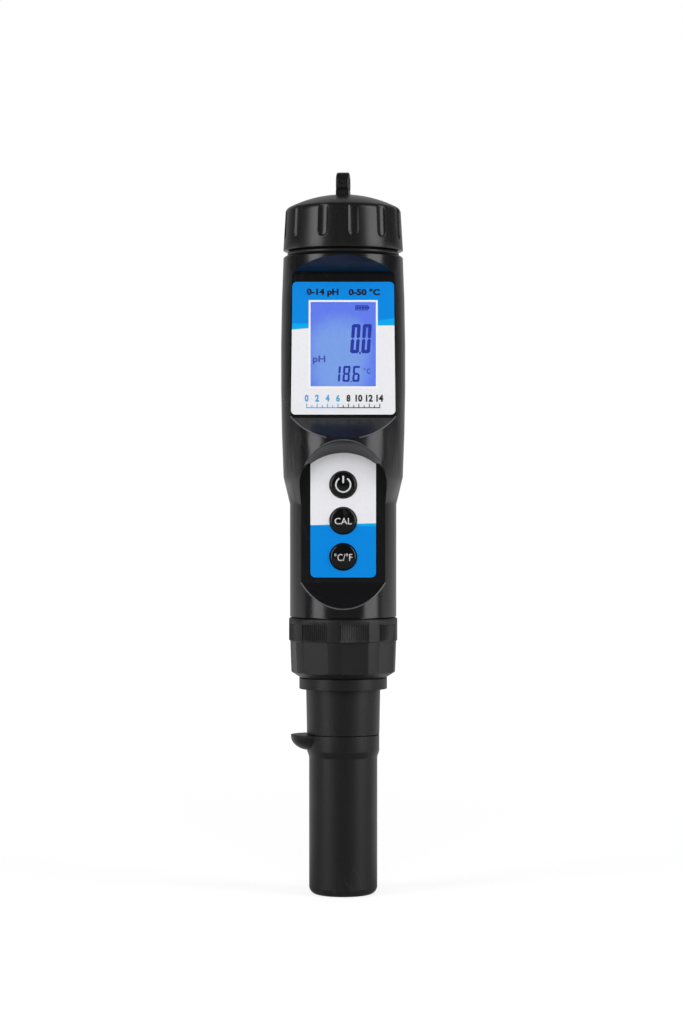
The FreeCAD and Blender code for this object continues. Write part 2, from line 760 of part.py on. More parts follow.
def make_housing():
    body = new_body("handle")
    rise = "(barrel_height - barrel_flare_height) / 2"
    swing = "asin(%s / barrel_belly_radius)" % rise
    belly = arc_corners("barrel_radius - barrel_belly_radius * cos(%s)" % swing,
                        "barrel_flare_height + " + rise, "barrel_belly_radius",
                        "-" + swing, swing, 5)
    revolve(body, "handle_turned", [
        ("0", "0"),
        ("spigot_bore", "0"),
        ("spigot_bore", "-spigot_length + slip"),
        ("spigot_radius", "-spigot_length + slip"),
        ("spigot_radius", "0"),
        ("barrel_low_radius", "0"),
        ("barrel_low_radius", "barrel_low_height"),
        *belly,
        ("neck_radius", "barrel_height"),
        ("neck_radius", "barrel_height + neck_height"),
        ("0", "barrel_height + neck_height")])
    doc.recompute()
    bevel_edges(body, "barrel_bevel", ring_edges(body, "barrel_radius", "barrel_height"),
                "barrel_edge")

    # Display scoop: a flat face between two slopes, cut right across.
    out = "-barrel_radius - 3"
    sketch = new_sketch(body, "scoop_outline", "YZ_Plane")
    add_outline(sketch, [
        ("-front_depth", "scoop_floor_low"),
        ("-front_depth", "scoop_floor_high"),
        ("-barrel_radius", "scoop_high"),
        (out, "scoop_high"),
        (out, "scoop_low"),
        ("-barrel_radius", "scoop_low")])
    extrude(body, "Pocket", "scoop", sketch, "4 * barrel_radius", both_sides=True)

    # Keypad recess: a flat face under an arch, its walls sloping outwards.
    sketch = new_sketch(body, "recess_outline", "XZ_Plane", "front_depth")
    add_outline(sketch, [
        ("-pad_half_width", "pad_floor_low"),
        ("pad_half_width", "pad_floor_low"),
        ("pad_half_width", "pad_arch_centre", "pad_half_width", "left", "half"),
        ("-pad_half_width", "pad_arch_centre")])
    recess = extrude(body, "Pocket", "recess", sketch, "barrel_radius", flip=True)
    bind(recess, "TaperAngle", "pad_draft")
    doc.recompute()

    # Ramp from the foot of the keypad face to the lower barrel.
    sketch = new_sketch(body, "ramp_outline", "YZ_Plane")
    add_outline(sketch, [
        ("-front_depth", "pad_floor_low"),
        ("-front_depth", "pad_floor_low + 2"),
        (out, "pad_floor_low + 2"),
        (out, "pad_ramp_low"),
        ("-barrel_low_radius", "pad_ramp_low")])
    extrude(body, "Pocket", "ramp", sketch, "4 * barrel_radius", both_sides=True)

    # Inside: a D-shaped bore up to the ledge, round above it, open at the neck.
    chord = "sqrt(bore_radius ^ 2 - inner_face ^ 2)"
    sketch = new_sketch(body, "bore_outline", "XY_Plane", "bore_ledge")
    add_outline(sketch, [
        ("-" + chord, "-inner_face"),
        (chord, "-inner_face", "bore_radius", "left", "long")])
    extrude(body, "Pocket", "bore", sketch, "bore_ledge - floor_thickness")
    sketch = new_sketch(body, "mouth_outline", "XY_Plane", "barrel_height + neck_height")
    add_circle(sketch, "0", "0", "bore_radius")
    extrude(body, "Pocket", "mouth", sketch, "barrel_height + neck_height - bore_ledge")
    sketch = new_sketch(body, "socket_hole_outline", "XY_Plane", "floor_thickness")
    add_circle(sketch, "0", "0", "socket_radius + socket_clearance")
    extrude(body, "Pocket", "socket_hole", sketch, "floor_thickness")

    # Lens recess, window and button holes in the front faces.
    sketch = new_sketch(body, "lens_outline", "XZ_Plane", "front_depth")
    add_outline(sketch, window_frame("lens_margin + lens_gap"))
    extrude(body, "Pocket", "lens_recess", sketch, "lens_thickness + slip")
    sketch = new_sketch(body, "window_outline", "XZ_Plane", "front_depth")
    add_outline(sketch, window_frame("window_margin"))
    extrude(body, "Pocket", "window", sketch, "front_wall + 0.2")
    sketch = new_sketch(body, "button_hole_outline", "XZ_Plane", "front_depth")
    for rise in ("button_high", "button_mid", "button_low"):
        add_circle(sketch, "0", rise, "button_radius + button_clearance")
    extrude(body, "Pocket", "button_holes", sketch, "front_wall + 0.2")
    place(body, z="handle_foot")
    return finish(body, "housing")


def window_frame(margin, side="window_half_width", low="window_low", high="window_high"):
    """A rectangle round the clear window, larger by the margin."""
    left = "-%s - (%s)" % (side, margin)
    right = "%s + (%s)" % (side, margin)
    foot = "%s - (%s)" % (low, margin)
    top = "%s + (%s)" % (high, margin)
    return [(left, foot), (right, foot), (right, top), (left, top)]


def plate_on_front(name, label, corners, face, thickness, holes=(), inner=None):
    """A flat plate parallel to the front, its front face at the given depth."""
    body = new_body(name)
    sketch = new_sketch(body, name + "_outline", "XZ_Plane")
    add_outline(sketch, corners)
    if inner:
        add_outline(sketch, inner)
    for u, v, radius in holes:
        add_circle(sketch, u, v, radius)
    extrude(body, "Pad", name + "_pad", sketch, thickness, flip=True)
    place(body, y="-(%s)" % face, z="handle_foot")
    return finish(body, label)


def rounded_frame(left_low, right_low, left_high, right_high, low, high, corner):
    """A frame with four rounded corners, its sides near enough upright."""
    return [
        ("%s + %s" % (left_low, corner), low),
        ("%s - %s" % (right_low, corner), low, corner, "left"),
        (right_low, "%s + %s" % (low, corner)),
        (right_high, "%s - %s" % (high, corner), corner, "left"),
        ("%s - %s" % (right_high, corner), high),
        ("%s + %s" % (left_high, corner), high, corner, "left"),
        (left_high, "%s - %s" % (high, corner)),
        (left_low, "%s + %s" % (low, corner), corner, "left")]


# Display.

def make_display():
    outline = rounded_frame(
        "-display_label_half_width", "display_label_half_width",
        "-display_label_top_half_width", "display_label_top_half_width",
        "display_label_low", "display_label_high", "display_label_corner")
    plate_on_front("label_d", "display_label", outline, "front_depth + label_thickness",
                   "label_thickness", inner=window_frame("0"))
    plate_on_front("lens", "display_window", window_frame("lens_margin"), "front_depth",
                   "lens_thickness")
    plate_on_front("lcd", "lcd_panel", window_frame("lcd_margin"), "lcd_face", "lcd_thickness")
    plate_on_front("light", "backlight_panel", window_frame("lcd_margin"), "light_face",
                   "backlight_thickness")
    plate_on_front("tray", "lcd_frame",
                   window_frame("lcd_margin + 2 * stack_gap + tray_wall"), "light_face",
                   "tray_depth", inner=window_frame("lcd_margin + 2 * stack_gap"))
    # Elastic strips carry the signals from the board to both ends of the cell.
    depth = "light_face + lcd_thickness / 2 + stack_gap - board_face - 2 * stack_gap"
    for label, foot in (
            ("contact_strip_low",
             "window_low - lcd_margin - 4 * stack_gap - tray_wall - strip_width"),
            ("contact_strip_high", "window_high + lcd_margin + 4 * stack_gap + tray_wall")):
        strip = block(label + "_block", "2 * window_half_width", depth, "strip_width",
                      "-window_half_width", "-board_face - stack_gap - (%s)" % depth,
                      "handle_foot + " + foot)
        finish(strip, label)


# Keypad.

def make_keypad():
    corner = "keypad_corner"
    half = "keypad_half_width"
    outline = [
        ("-%s + %s" % (half, corner), "keypad_low"),
        ("%s - %s" % (half, corner), "keypad_low", corner, "left"),
        (half, "keypad_low + " + corner),
        (half, "keypad_shoulder", "keypad_arch_radius", "left"),
        ("-" + half, "keypad_shoulder"),
        ("-" + half, "keypad_low + " + corner, corner, "left")]
    rises = ("button_high", "button_mid", "button_low")
    holes = [("0", rise, "button_radius + label_hole_clearance") for rise in rises]
    plate_on_front("label_k", "keypad_label", outline, "front_depth + label_thickness",
                   "label_thickness", holes=holes)

    for label, rise in zip(("power", "cal", "unit"), rises):
        make_button(label + "_button", rise)
        make_switch(label + "_switch", rise)


def make_button(label, rise):
    """A domed button on a flange, turned about its own axis."""
    body = new_body(label + "_body")
    front = "front_depth + label_thickness + button_proud - flange_face"
    swing = "acos((button_radius - button_edge) / button_dome_radius)"
    dome = arc_corners("0", front + " - button_dome_radius", "button_dome_radius",
                       swing, "90 deg", 3)
    shoulder = dome[0][1] + " - button_edge"
    revolve(body, label + "_turned", [
        ("0", "-button_flange_thickness"),
        ("button_flange_radius", "-button_flange_thickness"),
        ("button_flange_radius", "0"),
        ("button_radius", "0"),
        ("button_radius", shoulder),
        *dome])
    body.Placement = FreeCAD.Placement(
        FreeCAD.Vector(0, 0, 0), FreeCAD.Rotation(FreeCAD.Vector(1, 0, 0), 90))
    bind(body, "Placement.Base.y", "-flange_face")
    bind(body, "Placement.Base.z", "handle_foot + " + rise)
    return finish(body, label)


def make_switch(label, rise):
    half = "switch_width / 2"
    case = block(label + "_case", "switch_width", "switch_thickness", "switch_width",
                 "-" + half, "-switch_thickness", "-" + half)
    length = ("flange_face - button_flange_thickness - button_travel - stack_gap"
              " - board_face")
    tip = block(label + "_tip", "switch_tip_width", length, "switch_tip_width",
                "-switch_tip_width / 2", "-(%s)" % length, "-switch_tip_width / 2")
    switch = fuse(label + "_whole", [case, tip])
    place(switch, y="-board_face", z="handle_foot + " + rise)
    return finish(switch, label)


# Inside the handle.

def make_electronics():
    board = block("board", "2 * board_half_width", "board_thickness", "board_high - board_low",
                  "-board_half_width", "-board_face", "handle_foot + board_low")
    finish(board, "circuit_board")
    back = "board_thickness - board_face"
    chip = block("chip", "chip_width", "chip_thickness", "chip_width", "-chip_width / 2", back,
                 "handle_foot + board_low + chip_rise")
    finish(chip, "controller_chip")
    crystal = block("crystal", "crystal_width", "crystal_thickness", "crystal_length",
                    "-crystal_width / 2", back, "handle_foot + board_low + crystal_rise")
    finish(crystal, "clock_crystal")
    header = block("header", "header_width", "header_height", "header_height",
                   "-header_width / 2", back, "handle_foot + board_low")
    finish(header, "socket_header")


def make_electrode_socket():
    body = new_body("socket")
    foot = "plug_top + socket_foot_gap - handle_foot"
    revolve(body, "socket_turned", [
        ("0", foot),
        ("socket_radius", foot),
        ("socket_radius", "floor_thickness + slip"),
        ("socket_flange_radius", "floor_thickness + slip"),
        ("socket_flange_radius", "floor_thickness + slip + socket_flange_thickness"),
        ("0", "floor_thickness + slip + socket_flange_thickness")])
    sketch = new_sketch(body, "socket_holes", "XY_Plane", foot)
    for u, v in pin_spots():
        add_outline(sketch, square_at(u, v, "pin_width + 2 * slip"))
    doc.recompute()
    extrude(body, "Pocket", "pin_sleeves", sketch, "pin_length - pin_depth", flip=True)
    place(body, z="handle_foot")
    return finish(body, "electrode_socket")


def make_cells():
    holder = new_body("holder")
    sketch = new_sketch(holder, "holder_outline", "XY_Plane")
    add_circle(sketch, "0", "0", "bore_radius - holder_radius_gap")
    extrude(holder, "Pad", "holder_pad", sketch, "holder_height")
    sketch = new_sketch(holder, "pocket_outline", "XY_Plane", "holder_height")
    for side in ("-cell_offset", "cell_offset"):
        add_circle(sketch, side, "cell_back", "cell_radius + cell_clearance")
    extrude(holder, "Pocket", "pockets", sketch, "holder_height - holder_floor")
    place(holder, z="handle_foot + holder_foot")
    finish(holder, "battery_holder")

    for side, offset in (("left", "-cell_offset"), ("right", "cell_offset")):
        contact = block("contact_" + side, "contact_width", "contact_width",
                        "contact_thickness", offset + " - contact_width / 2",
                        "cell_back - contact_width / 2",
                        "handle_foot + holder_foot + holder_floor + cell_gap")
        finish(contact, "cell_contact_" + side)
        for level, name in enumerate(("low", "high")):
            rise = "%d * (cell_height + cell_gap)" % level
            cell = cylinder("cell_%s_%s" % (side, name), "cell_radius", "cell_height",
                            x=offset, y="cell_back", z="handle_foot + cell_foot + " + rise)
            finish(cell, "button_cell_%s_%s" % (side, name))


# Battery cap.

def make_battery_cap():
    body = new_body("cell_cap")
    # The shoulder's arc touches the skirt and the dome.
    reach = "cap_top_radius - cap_shoulder_round"
    swing = "acos((%s) / (cap_dome_radius - cap_shoulder_round))" % reach
    centre = "cap_dome_height - cap_dome_radius"
    level = centre + " + (cap_dome_radius - cap_shoulder_round) * sin(%s)" % swing
    shoulder = arc_corners(reach, level, "cap_shoulder_round", "0 deg", swing, 3)
    dome = arc_corners("0", centre, "cap_dome_radius", swing, "90 deg", 2)
    revolve(body, "cap_turned", [
        ("cap_bore", "0"),
        ("cap_foot_radius", "0"),
        *shoulder,
        *dome[1:],
        ("0", "cap_ceiling + rivet_depth"),
        ("rivet_radius + slip", "cap_ceiling + rivet_depth"),
        ("rivet_radius + slip", "cap_ceiling"),
        ("cap_bore", "cap_ceiling")])
    doc.recompute()

    # Grip slots follow the slope of the skirt and run out over the shoulder.
    sketch = new_sketch(body, "grip_outline", "XZ_Plane")
    slope = "atan((cap_foot_radius - cap_top_radius) / (%s))" % level
    sketch.AttachmentOffset = FreeCAD.Placement(
        FreeCAD.Vector(0, 0, value("cap_foot_radius - grip_slot_depth")),
        FreeCAD.Rotation(FreeCAD.Vector(-1, 0, 0), value(slope)))
    bind(sketch, "AttachmentOffset.Base.z", "cap_foot_radius - grip_slot_depth")
    bind(sketch, "AttachmentOffset.Rotation.Angle", slope)
    half = "grip_slot_width / 2"
    add_outline(sketch, [
        ("-" + half, "grip_slot_start + " + half, half, "left", "half"),
        (half, "grip_slot_start + " + half),
        (half, "cap_dome_height"),
        ("-" + half, "cap_dome_height")])
    slot = extrude(body, "Pocket", "grip_slot", sketch, "grip_slot_depth + 3", flip=True)
    pattern(body, "grip_slots", slot, "grip_slot_count")

    # Lanyard loop across the top of the dome, square to the front at rest.
    sketch = new_sketch(body, "loop_outline", "YZ_Plane")
    turn_sketch(sketch, "grip_slot_turn")
    add_outline(sketch, [
        ("-loop_radius", "cap_ceiling + rivet_depth + 1"),
        ("loop_radius", "cap_ceiling + rivet_depth + 1"),
        ("loop_radius", "loop_centre", "loop_radius", "left", "half"),
        ("-loop_radius", "loop_centre")])
    extrude(body, "Pad", "loop", sketch, "loop_thickness", both_sides=True)
    sketch = new_sketch(body, "loop_hole_outline", "YZ_Plane")
    turn_sketch(sketch, "grip_slot_turn")
    add_circle(sketch, "0", "loop_centre", "loop_hole_radius")
    extrude(body, "Pocket", "loop_hole", sketch, "2 * loop_thickness", both_sides=True)
    place(body, z="cap_foot", turn="grip_slot_turn")
    return finish(body, "battery_cap")


def make_cap_contacts():
    plate = new_body("plate")
    sketch = new_sketch(plate, "plate_outline", "XY_Plane")
    add_circle(sketch, "0", "0", "plate_radius")
    add_circle(sketch, "0", "0", "rivet_radius + 0.4 * slip")
    extrude(plate, "Pad", "plate_pad", sketch, "plate_thickness")
    place(plate, z="cap_foot + cap_ceiling - plate_gap - plate_thickness")
    finish(plate, "cap_contact_plate")

    rivet = new_body("rivet")
    revolve(rivet, "rivet_turned", [
        ("0", "-rivet_head_thickness"),
        ("rivet_head_radius", "-rivet_head_thickness"),
        ("rivet_head_radius", "0"),
        ("rivet_radius", "0"),
        ("rivet_radius", "plate_thickness + plate_gap + rivet_depth - 2 * slip"),
        ("0", "plate_thickness + plate_gap + rivet_depth - 2 * slip")])
    place(rivet, z="cap_foot + cap_ceiling - plate_gap - plate_thickness")
    return finish(rivet, "plate_rivet")


make_protective_cap()
make_storage_sponge()
make_electrode_body()
make_plug_pins()
make_electrode_collar()
make_gasket()
make_tip_potting()
make_glass_bulb()
make_inner_electrode()
make_temperature_sensor()
make_reference_junction()
make_coupling_nut()
make_housing()
make_display()
make_keypad()
make_electronics()
make_electrode_socket()
make_cells()
make_ring("cap_seal", "neck_radius", "seal_section", "handle_top + seal_section")
make_battery_cap()
make_cap_contacts()

doc.recompute()
faults = [thing.Name for thing in doc.Objects
          if "Invalid" in thing.State or "Error" in thing.State]
for part in PARTS:
    if part.Shape.isNull() or not part.Shape.isValid() or not part.Shape.Solids:
        faults.append(part.Label)
if faults:
    raise RuntimeError("not built: " + ", ".join(sorted(set(faults))))

os.makedirs("parts", exist_ok=True)
for part in PARTS:
    part.Shape.exportStep(os.path.join("parts", part.Label + ".step"))
    print("%-24s %9.1f mm3" % (part.Label, part.Shape.Volume))
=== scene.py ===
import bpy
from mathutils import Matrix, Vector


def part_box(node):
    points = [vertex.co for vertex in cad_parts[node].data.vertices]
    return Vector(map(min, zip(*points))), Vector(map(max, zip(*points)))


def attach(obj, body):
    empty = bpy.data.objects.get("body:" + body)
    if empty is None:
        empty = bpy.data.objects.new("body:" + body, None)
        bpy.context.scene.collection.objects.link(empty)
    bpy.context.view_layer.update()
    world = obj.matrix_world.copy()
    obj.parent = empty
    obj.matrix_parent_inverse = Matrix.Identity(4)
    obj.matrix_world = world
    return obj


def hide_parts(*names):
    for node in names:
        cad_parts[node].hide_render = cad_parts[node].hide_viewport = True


bl_info = {
    "name": "Pen pH Meter",
    "version": (1, 0, 0),
    "blender": (4, 5, 0),
    "location": "3D View > Sidebar > pH Meter",
    "description": "Looks and fine detail of a pen-shaped pH meter on its packed solids",
    "category": "Object",
}

from math import atan2, cos, degrees, hypot, pi, radians, sin, sqrt, tan

import bmesh
import bpy
from bpy.props import FloatProperty, FloatVectorProperty, IntProperty, PointerProperty
from mathutils import Matrix, Vector

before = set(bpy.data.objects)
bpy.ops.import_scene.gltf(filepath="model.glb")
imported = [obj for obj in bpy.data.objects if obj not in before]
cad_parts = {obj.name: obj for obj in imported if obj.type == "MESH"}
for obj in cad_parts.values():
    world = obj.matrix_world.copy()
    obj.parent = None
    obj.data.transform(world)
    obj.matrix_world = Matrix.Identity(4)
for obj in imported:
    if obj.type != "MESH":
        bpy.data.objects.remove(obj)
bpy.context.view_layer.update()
MM = 0.001


def low(node):
    """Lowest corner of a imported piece, in millimetres."""
    return [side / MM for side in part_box(node)[0]]


def high(node):
    """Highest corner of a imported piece, in millimetres."""
    return [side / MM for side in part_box(node)[1]]


# Places and sizes that the new pieces are tied to, in millimetres.
LABEL_FACE = low("display_label")[1]
LCD_FACE = low("lcd_panel")[1]
HANDLE_FOOT = high("coupling_nut")[2] + 0.3
HANDLE_TOP = low("cap_seal")[2]
NUT_FOOT = low("coupling_nut")[2]
SHANK_FOOT = NUT_FOOT - 16.15
DISPLAY_HALF, KEYPAD_HALF = 14.7, 9.22
WINDOW_HALF, WINDOW_HALF_HEIGHT = 9.2, 11.875
KEY_DOME, KEY_RADIUS = 9.0, 3.7


def shade(red, green, blue):
    """A linear colour for a shade given as three levels from 0 to 255."""
    levels = []
    for level in (red, green, blue):
        level /= 255
        levels.append(level / 12.92 if level <= 0.04045 else ((level + 0.055) / 1.055) ** 2.4)
    return tuple(levels)


# Settings.

def length(name, description, millimetres):
    return FloatProperty(name=name, description=description, default=millimetres * MM,
                         min=0.0, unit="LENGTH", precision=5)


def colour(name, description, levels):
    return FloatVectorProperty(name=name, description=description, subtype="COLOR",
                               default=shade(*levels), min=0.0, max=1.0)


class MeterHandleSettings(bpy.types.PropertyGroup):
    plastic: colour("Plastic", "Colour of the glossy handle", (15, 15, 17))
    edge: length("Edge Round", "Round along the sharp edges of the handle", 0.3)
    thread_pitch: length("Thread Pitch", "Pitch of both threads of the handle", 1.5)


class MeterCapSettings(bpy.types.PropertyGroup):
    plastic: colour("Plastic", "Colour of the satin caps, shank and nut", (20, 20, 21))


class MeterNutSettings(bpy.types.PropertyGroup):
    patches: IntProperty(name="Knurled Patches", default=8, min=1,
                         description="Knurled patches round the union nut, one over each flat")
    grooves: IntProperty(name="Grooves", default=13, min=1,
                         description="Grooves in each knurled patch")
    depth: length("Groove Depth", "Depth of the grooves of the knurling", 0.25)


class MeterDisplaySettings(bpy.types.PropertyGroup):
    blue: colour("Blue", "Blue print of the labels", (0, 134, 222))
    cyan: colour("Cyan", "Pale edge of the blue print", (0, 165, 232))
    white: colour("White", "White print of the labels", (232, 232, 236))
    ink: colour("Ink", "Black print of the labels", (16, 17, 22))
    lit: colour("Lit", "Backlit display in its middle", (126, 164, 236))
    dim: colour("Dim", "Backlit display along its edges", (100, 128, 242))
    digits: colour("Digits", "Digits of the display", (38, 58, 166))


class MeterKeypadSettings(bpy.types.PropertyGroup):
    plastic: colour("Keys", "Colour of the glossy keys", (7, 7, 9))
    sign: colour("Signs", "Colour of the signs on the keys", (212, 212, 212))


class MeterStageSettings(bpy.types.PropertyGroup):
    lens: FloatProperty(name="Lens", description="Focal length of the camera in millimetres",
                        default=98.09, min=10.0)
    distance: length("Distance", "Camera in front of the meter", 795.0)
    height: length("Height", "Camera above the floor", 112.1)
    floor: colour("Floor", "Colour of the floor", (150, 150, 150))


# Meshes.

def new_piece(name, mesh_maker, material, body, nodes=()):
    """A piece of the meter from a bmesh in millimetres."""
    mesh = bpy.data.meshes.new(name)
    mesh_maker.transform(Matrix.Scale(MM, 4))
    mesh_maker.to_mesh(mesh)
    mesh_maker.free()
    piece = bpy.data.objects.new(name, mesh)
    bpy.context.scene.collection.objects.link(piece)
    mesh.materials.append(material)
    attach(piece, body)
    if nodes:
        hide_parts(*nodes)
    return piece


def soften(piece, angle=30):
    """Smooth faces with sharp edges kept above the angle, in degrees."""
    mesh = piece.data
    for name in ("custom_normal", "sharp_face", "sharp_edge"):
        if name in mesh.attributes:
            mesh.attributes.remove(mesh.attributes[name])
    mesh.shade_smooth()
    mesh.set_sharp_from_angle(angle=radians(angle))
    weighted = piece.modifiers.new("weighted_normals", "WEIGHTED_NORMAL")
    weighted.keep_sharp = True
    return piece


def merged_copy(node):
    """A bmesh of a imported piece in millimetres, with its loose triangles merged."""
    maker = bmesh.new()
    maker.from_mesh(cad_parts[node].data)
    maker.transform(Matrix.Scale(1 / MM, 4))
    bmesh.ops.remove_doubles(maker, verts=maker.verts, dist=0.002)
    return maker


def rounded_copy(node, name, material, body, edge=0.0, angle=30, segments=2, shape=None):
    """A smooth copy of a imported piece, its sharp edges rounded."""
    maker = merged_copy(node)
    bmesh.ops.dissolve_limit(maker, angle_limit=radians(0.6), verts=maker.verts,
                             edges=maker.edges, use_dissolve_boundaries=False,
                             delimit={"NORMAL"})
    if shape:
        shape(maker)
    if edge:
        sharp = [e for e in maker.edges
                 if len(e.link_faces) == 2 and e.calc_face_angle(0) > radians(angle)]
        bmesh.ops.bevel(maker, geom=sharp, offset=edge, offset_type="OFFSET",
                        segments=segments, profile=0.5, affect="EDGES",
                        clamp_overlap=True, material=-1)
    piece = new_piece(name, maker, material, body, nodes=(node,))
    return soften(piece)


def turned(points, steps=96):
    """A bmesh of an outline of (radius, height) turned once round Z."""
    maker = bmesh.new()
    spots = [maker.verts.new((radius, 0, height)) for radius, height in points]
    rails = [maker.edges.new(pair) for pair in zip(spots, spots[1:] + spots[:1])]
    bmesh.ops.spin(maker, geom=spots + rails, cent=(0, 0, 0), axis=(0, 0, 1),
                   angle=2 * pi, steps=steps, use_merge=True, use_duplicate=False)
    bmesh.ops.remove_doubles(maker, verts=maker.verts, dist=0.0005)
    bmesh.ops.recalc_face_normals(maker, faces=maker.faces)
    return maker


def helix(radius, base, crest, foot, turns, pitch, steps=72):
    """A thread's ridge, its base and crest at their radii, turned up from its foot."""
    maker = bmesh.new()
    half = pitch * 0.32
    spots = [maker.verts.new(spot) for spot in (
        (base, 0, foot - half), (crest, 0, foot - half * 0.25),
        (crest, 0, foot + half * 0.25), (base, 0, foot + half))]
    end = maker.faces.new(spots)
    whole = int(steps * turns)
    bmesh.ops.spin(maker, geom=[end] + list(end.edges) + spots, cent=(0, 0, 0),
                   axis=(0, 0, 1), dvec=(0, 0, pitch * turns / whole),
                   angle=2 * pi * turns, steps=whole, use_merge=False, use_duplicate=False)
    bmesh.ops.remove_doubles(maker, verts=maker.verts, dist=0.0001)
    bmesh.ops.holes_fill(maker, edges=maker.edges)
    bmesh.ops.recalc_face_normals(maker, faces=maker.faces)
    return maker


def slab(maker, left, foot, right, top, front, back, corner):
    """A flat bar in the front plane, its corners cut."""
    shape = bmesh.ops.create_grid(maker, x_segments=1, y_segments=1, size=0.5)
    spots = shape["verts"]
    lay = Matrix(((right - left, 0, 0, (left + right) / 2), (0, 0, -1, front),
                  (0, top - foot, 0, (foot + top) / 2), (0, 0, 0, 1)))
    bmesh.ops.transform(maker, matrix=lay, verts=spots)
    if corner:
        cut = bmesh.ops.bevel(maker, geom=spots, offset=corner, offset_type="OFFSET",
                              segments=1, profile=0.5, affect="VERTICES", material=-1)
        spots = {v for f in cut["faces"] for v in f.verts} | set(cut["verts"])
    faces = list({f for v in spots for f in v.link_faces})
    pushed = bmesh.ops.extrude_face_region(maker, geom=faces, use_keep_orig=True)
    moved = [part for part in pushed["geom"] if isinstance(part, bmesh.types.BMVert)]
    bmesh.ops.translate(maker, vec=(0, back - front, 0), verts=moved)


def flat_bars(bars, front, back, slope=0.0, pivot=0.0):
    """Bars of one sign in one bmesh, sheared sideways by the slope above the pivot."""
    maker = bmesh.new()
    for left, foot, right, top, corner in bars:
        slab(maker, left, foot, right, top, front, back, corner)
    for spot in maker.verts:
        spot.co.x += slope * (spot.co.z - pivot)
    bmesh.ops.recalc_face_normals(maker, faces=maker.faces)
    return maker


SEGMENTS = {"0": "abcdef", "1": "bc", "6": "acdefg", "8": "abcdefg"}


def digit_bars(figure, left, foot, width, height, stroke, gap):
    """Bars of a seven-segment figure."""
    right, top, middle = left + width, foot + height, foot + height / 2
    half = stroke / 2
    bars = {
        "a": (left + gap, top - stroke, right - gap, top),
        "d": (left + gap, foot, right - gap, foot + stroke),
        "g": (left + stroke * 0.55, middle - half, right - stroke * 0.55, middle + half),
        "f": (left, middle + gap, left + stroke, top - gap),
        "b": (right - stroke, middle + gap, right, top - gap),
        "e": (left, foot + gap, left + stroke, middle - gap),
        "c": (right - stroke, foot + gap, right, middle - gap),
    }
    return [bars[part] + (stroke * 0.38,) for part in SEGMENTS[figure]]


def as_bmesh(data):
    """A bmesh of a text or a curve, whose data is then removed."""
    carrier = bpy.data.objects.new(data.name, data)
    bpy.context.scene.collection.objects.link(carrier)
    bpy.context.view_layer.update()
    mesh = bpy.data.meshes.new_from_object(
        carrier.evaluated_get(bpy.context.evaluated_depsgraph_get()))
    bpy.data.objects.remove(carrier)
    bpy.data.curves.remove(data)
    maker = bmesh.new()
    maker.from_mesh(mesh)
    bpy.data.meshes.remove(mesh)
    bmesh.ops.remove_doubles(maker, verts=maker.verts, dist=0.0005)
    return maker


def lettering(words, box, front, back, weight=0.0):
    """A bmesh of words fitted to a box (left, foot, right, top) in the front plane."""
    text = bpy.data.curves.new("words", "FONT")
    text.body = words
    text.offset = weight
    text.resolution_u = 3
    text.extrude = 0.5
    maker = as_bmesh(text)
    lows = [min(v.co[side] for v in maker.verts) for side in (0, 1)]
    highs = [max(v.co[side] for v in maker.verts) for side in (0, 1)]
    scale_x = (box[2] - box[0]) / (highs[0] - lows[0])
    scale_z = (box[3] - box[1]) / (highs[1] - lows[1])
    lay = Matrix(((scale_x, 0, 0, box[0] - lows[0] * scale_x),
                  (0, 0, front - back, (front + back) / 2),
                  (0, scale_z, 0, box[1] - lows[1] * scale_z), (0, 0, 0, 1)))
    maker.transform(lay)
    bmesh.ops.recalc_face_normals(maker, faces=maker.faces)
    return maker


def joined(makers):
    """Several bmeshes in one."""
    whole = bmesh.new()
    for maker in makers:
        mesh = bpy.data.meshes.new("share")
        maker.to_mesh(mesh)
        maker.free()
        whole.from_mesh(mesh)
        bpy.data.meshes.remove(mesh)
    return whole


# Node groups and materials.

def add(tree, kind, feeds=(), **settings):
    """A node with its settings, its inputs fed by values or by other nodes' outputs."""
    node = tree.nodes.new("ShaderNode" + kind)
    for name, setting in settings.items():
        setattr(node, name, setting)
    for key, feed in dict(feeds).items():
        if isinstance(feed, bpy.types.NodeSocket):
            tree.links.new(feed, node.inputs[key])
        else:
            node.inputs[key].default_value = feed
    return node


def sum_of(tree, operation, first, second=0.0, third=0.0, clamp=False):
    """The output of a Math node."""
    return add(tree, "Math", {0: first, 1: second, 2: third}, operation=operation,
               use_clamp=clamp).outputs[0]


def blend_of(tree, factor, first, second):
    """The output of a colour mix."""
    mix = add(tree, "Mix", data_type="RGBA")
    for socket, feed in ((mix.inputs[0], factor), (mix.inputs[6], first),
                         (mix.inputs[7], second)):
        if isinstance(feed, bpy.types.NodeSocket):
            tree.links.new(feed, socket)
        elif socket.type == "RGBA":
            socket.default_value = (*feed[:3], 1.0)
        else:
            socket.default_value = feed
    return mix.outputs[2]


def remap(tree, feed, from_low, from_high, to_low, to_high, smooth=False):
    """The output of a Map Range node."""
    return add(tree, "MapRange", {"Value": feed, "From Min": from_low, "From Max": from_high,
                                  "To Min": to_low, "To Max": to_high},
               interpolation_type="SMOOTHSTEP" if smooth else "LINEAR").outputs[0]


def new_group(name, inputs, outputs):
    """A shader node group with its sockets, its input node and its output node."""
    tree = bpy.data.node_groups.new(name, "ShaderNodeTree")
    for label, kind, default in inputs:
        socket = tree.interface.new_socket(label, in_out="INPUT", socket_type=kind)
        socket.default_value = default
    for label, kind in outputs:
        tree.interface.new_socket(label, in_out="OUTPUT", socket_type=kind)
    return tree, tree.nodes.new("NodeGroupInput"), tree.nodes.new("NodeGroupOutput")


